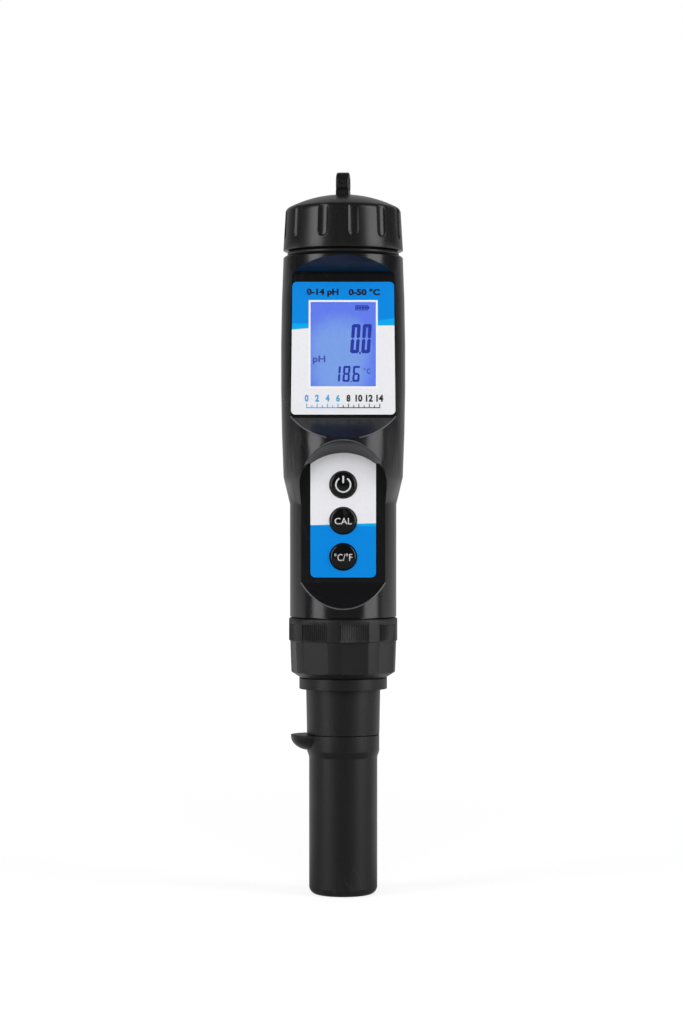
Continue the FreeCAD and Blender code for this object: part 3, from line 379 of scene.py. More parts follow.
def moulded_grain_group():
    """Fine pits and soft waves of a moulded surface."""
    tree, given, made = new_group(
        "Moulded Grain",
        [("Grain", "NodeSocketFloat", 2600.0), ("Wave", "NodeSocketFloat", 90.0),
         ("Pits", "NodeSocketFloat", 0.6)],
        [("Height", "NodeSocketFloat"), ("Speckle", "NodeSocketFloat")])
    place = add(tree, "TexCoord").outputs["Object"]
    fine = add(tree, "TexNoise", {"Vector": place, "Scale": given.outputs["Grain"],
                                  "Detail": 4.0, "Roughness": 0.62}).outputs["Fac"]
    pits = add(tree, "TexVoronoi", {"Vector": place, "Scale": given.outputs["Grain"]}
               ).outputs["Distance"]
    waves = add(tree, "TexNoise", {"Vector": place, "Scale": given.outputs["Wave"],
                                   "Detail": 2.0}).outputs["Fac"]
    rough = sum_of(tree, "MULTIPLY_ADD", pits, given.outputs["Pits"], fine)
    tree.links.new(sum_of(tree, "MULTIPLY_ADD", waves, 1.5, rough), made.inputs["Height"])
    tree.links.new(fine, made.inputs["Speckle"])
    return tree


def handling_group():
    """Faint smears, dust and hair scratches from use, as masks."""
    tree, given, made = new_group(
        "Handling Marks",
        [("Smear", "NodeSocketFloat", 60.0), ("Stretch", "NodeSocketFloat", 0.35)],
        [("Smudge", "NodeSocketFloat"), ("Dust", "NodeSocketFloat"),
         ("Scratch", "NodeSocketFloat")])
    place = add(tree, "TexCoord").outputs["Object"]
    long_way = add(tree, "CombineXYZ", {"X": 1.0, "Y": 1.0, "Z": given.outputs["Stretch"]})
    drawn = add(tree, "VectorMath", {0: place, 1: long_way.outputs[0]}, operation="MULTIPLY")
    smears = add(tree, "TexNoise", {"Vector": drawn.outputs[0], "Detail": 5.0,
                                    "Scale": given.outputs["Smear"], "Distortion": 0.8})
    smudge = remap(tree, smears.outputs["Fac"], 0.42, 0.72, 0.0, 1.0, smooth=True)
    specks = add(tree, "TexVoronoi", {"Vector": place, "Scale": 620.0, "Randomness": 1.0})
    dust = remap(tree, specks.outputs["Distance"], 0.05, 0.11, 1.0, 0.0)
    thin = add(tree, "TexNoise", {"Vector": place, "Scale": 45.0, "Detail": 1.0})
    some = remap(tree, thin.outputs["Fac"], 0.5, 0.62, 0.0, 1.0)
    hairs = add(tree, "TexWave", {"Vector": drawn.outputs[0], "Scale": 160.0,
                                  "Distortion": 14.0, "Detail": 3.0}, bands_direction="DIAGONAL")
    scratch = remap(tree, hairs.outputs["Fac"], 0.965, 1.0, 0.0, 1.0)
    tree.links.new(smudge, made.inputs["Smudge"])
    tree.links.new(sum_of(tree, "MULTIPLY", dust, some), made.inputs["Dust"])
    tree.links.new(sum_of(tree, "MULTIPLY", scratch, some), made.inputs["Scratch"])
    return tree


def place_mask_group():
    """Object coordinates in millimetres, as three numbers."""
    tree, _, made = new_group("Place", [], [(axis, "NodeSocketFloat") for axis in "XYZ"])
    place = add(tree, "TexCoord").outputs["Object"]
    scaled = add(tree, "VectorMath", {0: place, "Scale": 1 / MM}, operation="SCALE")
    parts = add(tree, "SeparateXYZ", {0: scaled.outputs[0]})
    for axis in "XYZ":
        tree.links.new(parts.outputs[axis], made.inputs[axis])
    return tree


GROUPS = {}


def group(tree, name, **values):
    """A placed node group, built on first use."""
    makers = {"Moulded Grain": moulded_grain_group, "Handling Marks": handling_group,
              "Place": place_mask_group}
    if name not in GROUPS:
        GROUPS[name] = makers[name]()
    node = tree.nodes.new("ShaderNodeGroup")
    node.node_tree = GROUPS[name]
    for label, setting in values.items():
        node.inputs[label].default_value = setting
    return node


def new_material(name, **values):
    """A material, its tree and its shader, with plain values set on the shader."""
    material = bpy.data.materials.new(name)
    material.use_nodes = True
    tree = material.node_tree
    shader = tree.nodes["Principled BSDF"]
    for label, setting in values.items():
        socket = shader.inputs[label.replace("_", " ")]
        socket.default_value = (*setting, 1.0) if socket.type == "RGBA" else setting
    return material, tree, shader


def bump(tree, shader, height, distance):
    """Relief under the surface, its height given in millimetres."""
    node = add(tree, "Bump", {"Height": height, "Distance": distance * MM})
    tree.links.new(node.outputs[0], shader.inputs["Normal"])


# How much of the dust and of the scratches shows on plastic, and their colour.
DUST_SHARE, SCRATCH_SHARE = 0.08, 0.05
WORN_PALE = shade(120, 120, 122)


def moulded(name, levels, roughness, grain=2600.0, depth=0.004, spread=0.1, specular=0.5):
    """Moulded plastic: fine grain, a patchy sheen, faint dust and hair scratches."""
    material, tree, shader = new_material(name, Specular_IOR_Level=specular)
    skin = group(tree, "Moulded Grain", Grain=grain)
    marks = group(tree, "Handling Marks")
    tone = remap(tree, skin.outputs["Speckle"], 0.3, 0.7, 0.82, 1.18)
    dark = add(tree, "VectorMath", {0: levels, "Scale": tone}, operation="SCALE").outputs[0]
    dusty = sum_of(tree, "MULTIPLY", marks.outputs["Dust"], DUST_SHARE)
    coloured = blend_of(tree, dusty, dark, WORN_PALE)
    hairs = sum_of(tree, "MULTIPLY", marks.outputs["Scratch"], SCRATCH_SHARE)
    scuffed = blend_of(tree, hairs, coloured, WORN_PALE)
    tree.links.new(scuffed, shader.inputs["Base Color"])
    rough = sum_of(tree, "MULTIPLY_ADD", marks.outputs["Smudge"], spread, roughness)
    rough = sum_of(tree, "MULTIPLY_ADD", skin.outputs["Speckle"], spread * 0.6, rough)
    tree.links.new(sum_of(tree, "MULTIPLY_ADD", dusty, 0.3, rough), shader.inputs["Roughness"])
    bump(tree, shader, skin.outputs["Height"], depth)
    return material


def metal(name, levels, roughness):
    """Drawn or plated metal with a fine streaky grain."""
    material, tree, shader = new_material(name, Metallic=1.0)
    marks = group(tree, "Handling Marks", Smear=140.0, Stretch=0.05)
    skin = group(tree, "Moulded Grain", Grain=900.0)
    worn = blend_of(tree, sum_of(tree, "MULTIPLY", marks.outputs["Smudge"], 0.35), levels,
                    tuple(level * 0.6 for level in levels))
    tree.links.new(worn, shader.inputs["Base Color"])
    tree.links.new(sum_of(tree, "MULTIPLY_ADD", marks.outputs["Smudge"], 0.18, roughness),
                   shader.inputs["Roughness"])
    bump(tree, shader, skin.outputs["Height"], 0.002)
    return material


def clear(name, levels, roughness=0.02, ior=1.49):
    """Clear plastic or glass with faint smears."""
    material, tree, shader = new_material(
        name, Base_Color=levels, Transmission_Weight=1.0, IOR=ior)
    marks = group(tree, "Handling Marks", Smear=45.0)
    tree.links.new(sum_of(tree, "MULTIPLY_ADD", marks.outputs["Smudge"], 0.01, roughness),
                   shader.inputs["Roughness"])
    return material


def display_label_material(setup):
    """Printed film: blue over white with a pale edge between, and a line round the window."""
    material, tree, shader = new_material("display_print", Coat_Weight=0.1,
                                          Coat_Roughness=0.12, Specular_IOR_Level=0.15)
    spot = group(tree, "Place")
    across, up = spot.outputs["X"], spot.outputs["Z"]
    share = remap(tree, across, -DISPLAY_HALF, DISPLAY_HALF, 0.0, 1.0)
    bend = sum_of(tree, "MULTIPLY", sum_of(tree, "MULTIPLY", share, share), -1.15)
    edge = sum_of(tree, "ADD", sum_of(tree, "MULTIPLY_ADD", share, 2.3, 160.04), bend)
    is_blue = sum_of(tree, "MULTIPLY", sum_of(tree, "SUBTRACT", up, edge), 14.0, clamp=True)
    rise = sum_of(tree, "POWER", remap(tree, across, -8.0, DISPLAY_HALF, 0.0, 1.0), 3.0)
    wedge = sum_of(tree, "MULTIPLY_ADD", rise, 1.65, 161.9)
    is_pale = sum_of(tree, "MULTIPLY", sum_of(tree, "SUBTRACT", wedge, up), 6.0, clamp=True)
    blue = blend_of(tree, is_pale, setup.blue, setup.cyan)
    print_colour = blend_of(tree, is_blue, setup.white, blue)
    centre = (low("lcd_panel")[2] + high("lcd_panel")[2]) / 2
    tall = sum_of(tree, "ABSOLUTE", sum_of(tree, "SUBTRACT", up, centre))
    wide = sum_of(tree, "ABSOLUTE", across)
    outside = sum_of(tree, "MAXIMUM", sum_of(tree, "SUBTRACT", wide, WINDOW_HALF),
                     sum_of(tree, "SUBTRACT", tall, WINDOW_HALF_HEIGHT))
    line = sum_of(tree, "MULTIPLY", sum_of(tree, "SUBTRACT", 0.55, outside), 14.0, clamp=True)
    print_colour = blend_of(tree, line, print_colour, (0.86, 0.87, 0.9))
    finish_print(tree, shader, print_colour)
    return material


def keypad_label_material(setup):
    """Printed film: white over blue with a thin pale edge between."""
    material, tree, shader = new_material("keypad_print", Coat_Weight=0.1,
                                          Coat_Roughness=0.12, Specular_IOR_Level=0.15)
    spot = group(tree, "Place")
    across, up = spot.outputs["X"], spot.outputs["Z"]
    share = remap(tree, across, -KEYPAD_HALF, KEYPAD_HALF, 0.0, 1.0)
    edge = sum_of(tree, "MULTIPLY_ADD", share, 0.54, 105.06)
    is_blue = sum_of(tree, "MULTIPLY", sum_of(tree, "SUBTRACT", edge, up), 14.0, clamp=True)
    deep = sum_of(tree, "MULTIPLY_ADD", sum_of(tree, "POWER", share, 2.0), -0.3, 104.75)
    is_pale = sum_of(tree, "MULTIPLY", sum_of(tree, "SUBTRACT", up, deep), 3.0, clamp=True)
    blue = blend_of(tree, is_pale, setup.blue, setup.cyan)
    finish_print(tree, shader, blend_of(tree, is_blue, setup.white, blue))
    return material


def finish_print(tree, shader, print_colour):
    """Faint ink mottling, smears and orange peel over a printed film."""
    skin = group(tree, "Moulded Grain", Grain=1500.0, Wave=220.0, Pits=0.15)
    marks = group(tree, "Handling Marks", Smear=70.0)
    tone = remap(tree, skin.outputs["Speckle"], 0.3, 0.7, 0.975, 1.02)
    toned = add(tree, "VectorMath", {0: print_colour, "Scale": tone}, operation="SCALE")
    greyed = blend_of(tree, sum_of(tree, "MULTIPLY", marks.outputs["Dust"], 0.12),
                      toned.outputs[0], (0.3, 0.3, 0.3))
    tree.links.new(greyed, shader.inputs["Base Color"])
    tree.links.new(sum_of(tree, "MULTIPLY_ADD", marks.outputs["Smudge"], 0.12, 0.32),
                   shader.inputs["Roughness"])
    bump(tree, shader, skin.outputs["Height"], 0.003)


def lcd_material(setup):
    """Backlit liquid crystal: brightest left of its middle, deeper blue at its edges."""
    material, tree, shader = new_material("lcd_glow", Base_Color=(0.01, 0.012, 0.03),
                                          Roughness=0.25, Emission_Strength=1.0,
                                          Specular_IOR_Level=0.0)
    spot = group(tree, "Place")
    across = sum_of(tree, "MULTIPLY", sum_of(tree, "ADD", spot.outputs["X"], 1.2), 0.1)
    up = sum_of(tree, "MULTIPLY", sum_of(tree, "SUBTRACT", spot.outputs["Z"], 152.5), 0.075)
    far = sum_of(tree, "ADD", sum_of(tree, "POWER", sum_of(tree, "ABSOLUTE", across), 2.6),
                 sum_of(tree, "POWER", sum_of(tree, "ABSOLUTE", up), 2.6))
    cloud = add(tree, "TexNoise", {"Vector": add(tree, "TexCoord").outputs["Object"],
                                   "Scale": 170.0, "Detail": 3.0}).outputs["Fac"]
    edge = sum_of(tree, "MULTIPLY_ADD", sum_of(tree, "SUBTRACT", cloud, 0.5), 0.5, far)
    mask = remap(tree, edge, 0.1, 1.05, 0.0, 1.0, smooth=True)
    glow = blend_of(tree, mask, setup.lit, setup.dim)
    grid = add(tree, "TexNoise", {"Vector": add(tree, "TexCoord").outputs["Object"],
                                  "Scale": 1400.0, "Detail": 2.0}).outputs["Fac"]
    tone = remap(tree, grid, 0.3, 0.7, 0.965, 1.03)
    toned = add(tree, "VectorMath", {0: glow, "Scale": tone}, operation="SCALE")
    tree.links.new(toned.outputs[0], shader.inputs["Emission Color"])
    return material


def ink_material(name, levels, roughness=0.4, glow=0.0):
    """Printed ink or a dark segment, slightly uneven."""
    material, tree, shader = new_material(name, Roughness=roughness)
    skin = group(tree, "Moulded Grain", Grain=2200.0)
    tone = remap(tree, skin.outputs["Speckle"], 0.3, 0.7, 0.88, 1.1)
    toned = add(tree, "VectorMath", {0: levels, "Scale": tone}, operation="SCALE").outputs[0]
    if glow:
        shader.inputs["Base Color"].default_value = (0.01, 0.01, 0.02, 1.0)
        shader.inputs["Emission Strength"].default_value = glow
        shader.inputs["Specular IOR Level"].default_value = 0.0
        tree.links.new(toned, shader.inputs["Emission Color"])
    else:
        tree.links.new(toned, shader.inputs["Base Color"])
    bump(tree, shader, skin.outputs["Height"], 0.001)
    return material


def board_material():
    """Green solder mask with copper runs under it."""
    material, tree, shader = new_material("board_mask", Coat_Weight=0.3, Coat_Roughness=0.2)
    place = add(tree, "TexCoord").outputs["Object"]
    bricks = add(tree, "TexBrick", {
        "Vector": place, "Scale": 300.0, "Mortar Size": 0.06, "Color1": (0.01, 0.12, 0.04, 1),
        "Color2": (0.01, 0.1, 0.04, 1), "Mortar": (0.02, 0.2, 0.07, 1)})
    skin = group(tree, "Moulded Grain", Grain=1800.0)
    tree.links.new(bricks.outputs["Color"], shader.inputs["Base Color"])
    shader.inputs["Roughness"].default_value = 0.35
    bump(tree, shader, skin.outputs["Height"], 0.003)
    return material


def sponge_material():
    """Open-cell sponge."""
    material, tree, shader = new_material("sponge_foam", Roughness=0.95)
    place = add(tree, "TexCoord").outputs["Object"]
    cells = add(tree, "TexVoronoi", {"Vector": place, "Scale": 1100.0}, feature="F1")
    foam = blend_of(tree, cells.outputs["Distance"], (0.30, 0.25, 0.10), (0.86, 0.78, 0.5))
    tree.links.new(foam, shader.inputs["Base Color"])
    bump(tree, shader, cells.outputs["Distance"], 0.3)
    return material


def dress(material, *nodes):
    """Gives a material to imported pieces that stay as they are."""
    for node in nodes:
        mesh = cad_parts[node].data
        mesh.materials.clear()
        mesh.materials.append(material)


# Operators.

class MeterOperator(bpy.types.Operator):
    """Shared options of the meter's operators"""
    bl_options = {"REGISTER", "UNDO"}


class METER_OT_handle(MeterOperator):
    """Smooth handle with rounded edges, in glossy plastic"""
    bl_idname = "meter.handle"
    bl_label = "Handle"

    def execute(self, context):
        setup = context.scene.meter_handle
        gloss = moulded("handle_gloss", setup.plastic, 0.18, grain=1400.0, depth=0.0015,
                        spread=0.07, specular=0.5)
        rounded_copy("housing", "handle_shell", gloss, "handle",
                     edge=setup.edge / MM, angle=20, segments=3)
        self.arch(gloss)
        # The pale grey of the lips is a painted highlight along their rounded edges.
        self.lips(moulded("lip_painted_highlight", shade(84, 84, 86), 0.22, depth=0.001, spread=0.06))
        return {"FINISHED"}

    def lips(self, material):
        """Rounds the lips of the keypad's ramp and of the scoop, where light runs along; the given
        pale material is a painted highlight along them.
        """
        shell = merged_copy("housing")
        sharp = [e for e in shell.edges if e.calc_face_angle(0) > radians(35)]
        spots = {tuple(v.co) for e in sharp for v in e.verts
                 if v.co.y < -8 and hypot(v.co.x, v.co.y) > 15}
        shell.free()
        runs = {"ramp_lip": [s for s in spots if 81.4 < s[2] < 88.9],
                "scoop_lip_left": [s for s in spots if 129.35 < s[2] < 135.7 and s[0] < -3.5],
                "scoop_lip_right": [s for s in spots if 129.35 < s[2] < 135.7 and s[0] > 3.5]}
        for name, run in runs.items():
            if len(run) < 5:
                raise ValueError("no sharp edge found for " + name)
            curve = bpy.data.curves.new(name, "CURVE")
            curve.dimensions = "3D"
            curve.bevel_depth, curve.bevel_resolution, curve.use_fill_caps = 0.2, 3, True
            line = curve.splines.new("POLY")
            line.points.add(len(run) - 1)
            for point, spot in zip(line.points, sorted(run)):
                inset = 1 - 0.06 / hypot(spot[0], spot[1])
                point.co = (spot[0] * inset, spot[1] * inset, spot[2], 1.0)
            bead = as_bmesh(curve)
            bmesh.ops.recalc_face_normals(bead, faces=bead.faces)
            soften(new_piece(name, bead, material, "handle"), 60)

    def arch(self, material):
        """The slope that runs from the keypad's arch down to the top of its label."""
        face, lean = low("keypad_label")[1], radians(15)
        centre, wall, swing = 115.0, 11.9, radians(52)
        label_centre, label_arc = high("keypad_label")[2] - 15.0, 15.0
        barrel, share = 16.6, 0.92
        maker = bmesh.new()
        tags = (9.0, 10.0, 11.0)
        spots = [maker.verts.new((-r * sin(swing), r, r * cos(swing))) for r in tags]
        end = maker.faces.new(spots)
        bmesh.ops.spin(maker, geom=[end] + list(end.edges) + spots, cent=(0, 0, 0),
                       axis=(0, 1, 0), angle=2 * swing, steps=64, use_merge=False,
                       use_duplicate=False)
        bmesh.ops.remove_doubles(maker, verts=maker.verts, dist=0.0001)
        bmesh.ops.holes_fill(maker, edges=maker.edges)
        lift = centre - label_centre
        for spot in maker.verts:
            tag, angle = round(spot.co.y), atan2(spot.co.x, spot.co.z)
            inner = -lift * cos(angle) + sqrt(label_arc ** 2 - (lift * sin(angle)) ** 2)
            depth = share * (sqrt(barrel ** 2 - (wall * sin(angle)) ** 2) + face)
            radius, y = {9: (inner + 0.03, face - 0.01),
                         10: (wall + depth * tan(lean) + 0.02, face - depth),
                         11: (wall + 0.3, face + 0.4)}[tag]
            spot.co = (radius * sin(angle), y, centre + radius * cos(angle))
        bmesh.ops.recalc_face_normals(maker, faces=maker.faces)
        soften(new_piece("keypad_arch", maker, material, "handle"), 40)


class METER_OT_threads(MeterOperator):
    """Threads on the spigot and on the neck of the handle"""
    bl_idname = "meter.threads"
    bl_label = "Handle Threads"

    def execute(self, context):
        setup = context.scene.meter_handle
        satin = moulded("thread_satin", setup.plastic, 0.35, depth=0.002)
        pitch = setup.thread_pitch / MM
        for name, base, crest, foot, turns in (
                ("spigot_thread", 12.85, 13.14, HANDLE_FOOT - 8.6, 5),
                ("neck_thread", 14.45, 14.74, HANDLE_TOP + 1.9, 4)):
            maker = helix(base, base, crest, foot, turns, pitch)
            piece = new_piece(name, maker, satin, "handle")
            soften(piece, 50)
        return {"FINISHED"}


class METER_OT_display(MeterOperator):
    """Display label, lens and backlit digits"""
    bl_idname = "meter.display"
    bl_label = "Display"

    def execute(self, context):
        setup = context.scene.meter_display
        dress(display_label_material(setup), "display_label")
        dress(clear("lens_clear", (0.98, 0.985, 1.0), roughness=0.0), "display_window")
        dress(lcd_material(setup), "lcd_panel")
        digits = ink_material("lcd_digits", setup.digits, glow=1.0)
        faint = ink_material("lcd_signs", tuple(
            0.85 * a + 0.15 * b for a, b in zip(setup.digits, setup.lit)), glow=1.0)
        front, back = LCD_FACE - 0.03, LCD_FACE + 0.02

        bars = []
        for left in (2.02, 5.15):
            bars += digit_bars("0", left - 0.12, 153.5, 2.52, 8.25, 0.98, 0.08)
        bars.append((4.46, 153.2, 4.98, 153.95, 0.2))
        large = flat_bars(bars, front, back, slope=0.07, pivot=153.57)
        bars = []
        for figure, left in (("1", -2.9), ("8", -0.18), ("6", 2.58)):
            bars += digit_bars(figure, left - 0.06, 145.45, 2.02, 4.5, 0.6, 0.06)
        bars.append((2.06, 145.25, 2.42, 145.75, 0.14))
        small = flat_bars(bars, front, back, slope=0.07, pivot=145.5)
        new_piece("lcd_figures", joined([large, small]), digits, "handle")

        words = joined([
            lettering("pH", (-8.57, 150.4, -5.03, 152.9), front, back, weight=0.03),
            lettering("C", (6.6, 147.7, 7.7, 149.2), front, back, weight=0.04),
            lettering("o", (5.7, 148.7, 6.3, 149.35), front, back, weight=0.02)])
        new_piece("lcd_words", words, faint, "handle")

        bars = [(3.39, 165.6, 6.95, 165.84, 0.0), (3.39, 166.86, 6.95, 167.1, 0.0),
                (3.39, 165.84, 3.6, 166.86, 0.0), (6.74, 165.84, 6.95, 166.86, 0.0),
                (6.96, 165.95, 7.36, 166.75, 0.1)]
        bars += [(left, 165.96, left + 0.68, 166.74, 0.0) for left in (3.68, 4.46, 5.24, 6.0)]
        new_piece("lcd_battery", flat_bars(bars, front, back), digits, "handle")
        return {"FINISHED"}


class METER_OT_markings(MeterOperator):
    """Plain marks on the display label: the ranges and a scale from 0 to 14"""
    bl_idname = "meter.markings"
    bl_label = "Label Marks"

    def execute(self, context):
        setup = context.scene.meter_display
        ink = ink_material("label_ink", setup.ink)
        pale = ink_material("label_ink_blue", shade(66, 158, 214))
        front, back = LABEL_FACE - 0.02, LABEL_FACE + 0.02
        heading = joined([
            lettering("0-14 pH", (-10.3, 169.3, -1.3, 171.6), front, back, weight=0.045),
            lettering("0-50 °C", (1.5, 169.7, 10.3, 171.6), front, back, weight=0.045)])
        new_piece("heading_print", heading, ink, "handle")

        step = 1.47
        for name, paint, figures in (("scale_low_print", pale, range(0, 7)),
                                     ("scale_high_print", ink, range(7, 15))):
            bars, words = [], []
            for figure in figures:
                x = (figure - 7) * step
                tall = 1.0 if figure % 2 == 0 else 0.6
                bars.append((x - 0.12, 138.2, x + 0.12, 138.2 + tall, 0.0))
                if figure % 2 == 0:
                    half = 0.55 if figure < 10 else 0.98
                    words.append(lettering(str(figure), (x - half, 139.75, x + half, 141.75),
                                           front, back, weight=0.045))
            start = (figures[0] - 7) * step - (0.12 if figures[0] == 0 else step)
            bars.append((start, 137.95, (figures[-1] - 7) * step + 0.12, 138.2, 0.0))
            new_piece(name, joined([flat_bars(bars, front, back)] + words), paint,
                      "handle")
        return {"FINISHED"}


class METER_OT_keypad(MeterOperator):
    """Keypad label and three domed keys with their signs"""
    bl_idname = "meter.keypad"
    bl_label = "Keypad"

    def execute(self, context):
        setup = context.scene.meter_keypad
        dress(keypad_label_material(context.scene.meter_display), "keypad_label")
        gloss = moulded("key_gloss", setup.plastic, 0.12, grain=1600.0, depth=0.001,
                        spread=0.06)
        sign = ink_material("key_sign", setup.sign, roughness=0.45)
        for key, words in (("power", None), ("cal", "CAL"), ("unit", "°C/°F")):
            node = key + "_button"
            corners = low(node), high(node)
            front = corners[0][1]
            middle = (corners[0][2] + corners[1][2]) / 2
            self.key(node, gloss, "key_" + key, front, corners[1][1], middle)
            maker = self.sign(words, middle)
            self.lay_on_dome(maker, front, middle)
            piece = new_piece(key + "_sign", maker, sign, "key_" + key)
            soften(piece, 40)
        return {"FINISHED"}

    def key(self, node, material, body, front, back, middle):
        """A turned key: flange, wall, rounded rim and dome."""
        depth = back - front
        dome, radius, rim = KEY_DOME, KEY_RADIUS, 0.8
        edge = depth - dome + sqrt(dome ** 2 - (radius - rim) ** 2)
        swing = atan2(radius - rim, edge - depth + dome)
        points = [(0, 0), (4.4, 0), (4.4, 0.5), (radius, 0.5), (radius, edge - rim * 0.8)]
        points += [(radius - rim * (1 - cos(a)), edge - rim * 0.8 + rim * 0.8 * sin(a))
                   for a in (radians(10 * s) for s in range(1, 8))]
        points += [(dome * sin(swing * s / 8), depth - dome + dome * cos(swing * s / 8))
                   for s in range(8, -1, -1)]
        maker = turned(points, steps=96)
        upright = Matrix.Rotation(radians(90), 4, "X")
        maker.transform(Matrix.Translation((0, back, middle)) @ upright)
        bmesh.ops.recalc_face_normals(maker, faces=maker.faces)
        soften(new_piece(node.replace("button", "key"), maker, material, body,
                         nodes=(node,)), 40)

    def sign(self, words, middle):
        """The flat sign of a key, to be laid on its dome."""
        if words == "CAL":
            return lettering(words, (-2.42, middle - 1.0, 2.42, middle + 0.8), -0.1, 0.1,
                             weight=0.003)
        if words:
            return lettering(words, (-2.5, middle - 1.15, 2.55, middle + 0.95), -0.1, 0.1)
        maker = bmesh.new()
        opening = radians(33)
        inner, outer = 1.84, 2.28
        spots = [maker.verts.new((radius * sin(opening), depth, middle + radius * cos(opening)))
                 for radius, depth in ((inner, -0.1), (outer, -0.1), (outer, 0.1), (inner, 0.1))]
        end = maker.faces.new(spots)
        bmesh.ops.spin(maker, geom=[end] + list(end.edges) + spots, cent=(0, 0, middle),
                       axis=(0, 1, 0), angle=2 * pi - 2 * opening, steps=44,
                       use_merge=False, use_duplicate=False)
        bmesh.ops.remove_doubles(maker, verts=maker.verts, dist=0.001)
        bmesh.ops.holes_fill(maker, edges=maker.edges)
        bar = flat_bars([(-0.24, middle + 0.45, 0.24, middle + 2.5, 0.08)], -0.1, 0.1)
        bmesh.ops.recalc_face_normals(maker, faces=maker.faces)
        return joined([maker, bar])

    def lay_on_dome(self, maker, front, middle):
        """Bends a flat sign over the dome of a key, just proud of it."""
        bmesh.ops.triangulate(maker, faces=[f for f in maker.faces if len(f.verts) > 4])
        for _ in range(3):
            long_edges = [e for e in maker.edges if e.calc_length() > 0.45]
            if long_edges:
                bmesh.ops.subdivide_edges(maker, edges=long_edges, cuts=1, use_grid_fill=True)
        for spot in maker.verts:
            away = hypot(spot.co.x, spot.co.z - middle)
            sag = KEY_DOME - sqrt(KEY_DOME ** 2 - away ** 2)
            spot.co.y = front + sag + (-0.02 if spot.co.y < 0 else 0.03)


class METER_OT_union_nut(MeterOperator):
    """Union nut with eight flats and knurled patches"""
    bl_idname = "meter.union_nut"
    bl_label = "Union Nut"

    def execute(self, context):
        satin = moulded("nut_satin", context.scene.meter_cap.plastic, 0.42, depth=0.003,
                        specular=0.45)
        setup = context.scene.meter_nut
        maker = turned([
            (11.15, 0), (12.45, 0), (12.6, 0.12), (14.6, 1.38), (14.8, 1.55), (14.84, 2.6),
            (14.9, 4.2), (14.98, 6.4), (15.05, 8.6), (15.1, 10.3), (15.16, 10.42), (15.36, 10.42),
            (15.43, 10.52), (15.43, 10.9), (15.43, 14.6), (15.43, 15.1), (15.43, 15.35),
            (15.43, 16.4), (15.36, 16.7), (15.05, 16.95), (13.35, 16.95), (13.2, 16.8),
            (13.2, 3.3), (11.3, 3.3), (11.15, 3.15)], steps=600)
        turn = radians(12.5)
        sector = 2 * pi / setup.patches
        pitch = radians(31) / setup.grooves
        for spot in maker.verts:
            radius, height = hypot(spot.co.x, spot.co.y), spot.co.z
            if radius < 13.5:
                continue
            angle = atan2(spot.co.x, -spot.co.y) - turn
            off = (angle + sector / 2) % sector - sector / 2
            if height < 10.45:
                flat = 14.25 + 0.35 * max(0.0, (height - 1.45) / 8.95)
                target = min(radius, flat / cos(off) + (0.25 if height < 1.3 else 0))
            else:
                target = radius
                inside = abs(off) < radians(15.5)
                phase = abs((off / pitch) % 1.0 - 0.5) * 2
                if inside and 10.8 < height < 16.5:
                    depth = setup.depth / MM * (1.0 if height < 15.2 else 0.35)
                    target -= depth * (1 - phase)
            spot.co.x *= target / radius
            spot.co.y *= target / radius
        maker.transform(Matrix.Translation((0, 0, NUT_FOOT)))
        piece = new_piece("union_nut_knurled", maker, satin, "union_nut",
                          nodes=("coupling_nut",))
        soften(piece, 24)
        return {"FINISHED"}


class METER_OT_electrode(MeterOperator):
    """Electrode module: shank, collar, pins, bulb, sensor, junction and sealing rings"""
    bl_idname = "meter.electrode"
    bl_label = "Electrode"

    def execute(self, context):
        setup = context.scene.meter_cap
        satin = moulded("shank_satin", setup.plastic, 0.4, depth=0.003, specular=0.4)
        collar, wide, narrow = low("electrode_collar")[2], 10.7, 10.33

        def taper(maker):
            """Narrows the shank towards its foot, where it meets the cap."""
            for spot in maker.verts:
                radius = hypot(spot.co.x, spot.co.y)
                if abs(radius - wide) < 0.1 and SHANK_FOOT - 0.3 < spot.co.z < collar:
                    share = max(0.0, (spot.co.z - SHANK_FOOT) / (collar - SHANK_FOOT))
                    shrink = (narrow + (wide - narrow) * share) / radius
                    spot.co.x *= shrink
                    spot.co.y *= shrink

        rounded_copy("electrode_body", "electrode_shell", satin, "electrode",
                     edge=0.15, shape=taper)
        rounded_copy("electrode_collar", "collar_ring", satin, "electrode", edge=0.1)
        glass = clear("bulb_glass", (0.93, 0.97, 1.0), roughness=0.0, ior=1.5)
        rounded_copy("glass_bulb", "sensing_bulb", glass, "electrode", angle=60)
        dress(metal("gold_plate", (0.83, 0.62, 0.28), 0.22), "plug_pin_1", "plug_pin_2",
              "plug_pin_3", "plug_pin_4")
        dress(moulded("gasket_rubber", (0.02, 0.02, 0.02), 0.6, depth=0.01, specular=0.3),
              "clamp_gasket")
        rubber = moulded("seal_rubber", (0.012, 0.012, 0.012), 0.3, depth=0.004, specular=0.45)
        foot, top = low("cap_seal"), high("cap_seal")
        middle, half = (foot[2] + top[2]) / 2, (top[2] - foot[2]) / 2
        ring = turned([(top[0] - half + half * cos(a), middle + half * sin(a))
                       for a in (2 * pi * s / 20 for s in range(20))], steps=180)
        soften(new_piece("seal_ring", ring, rubber, "handle", nodes=("cap_seal",)), 60)
        dress(moulded("resin_black", (0.05, 0.05, 0.055), 0.15, grain=700.0), "tip_potting")
        dress(metal("wire_silver", (0.78, 0.77, 0.74), 0.25), "inner_electrode")
        dress(metal("sensor_steel", (0.62, 0.62, 0.63), 0.28), "temperature_sensor")
        dress(moulded("junction_ceramic", (0.78, 0.76, 0.7), 0.85, grain=3500.0, depth=0.02,
                      specular=0.2), "reference_junction")
        return {"FINISHED"}


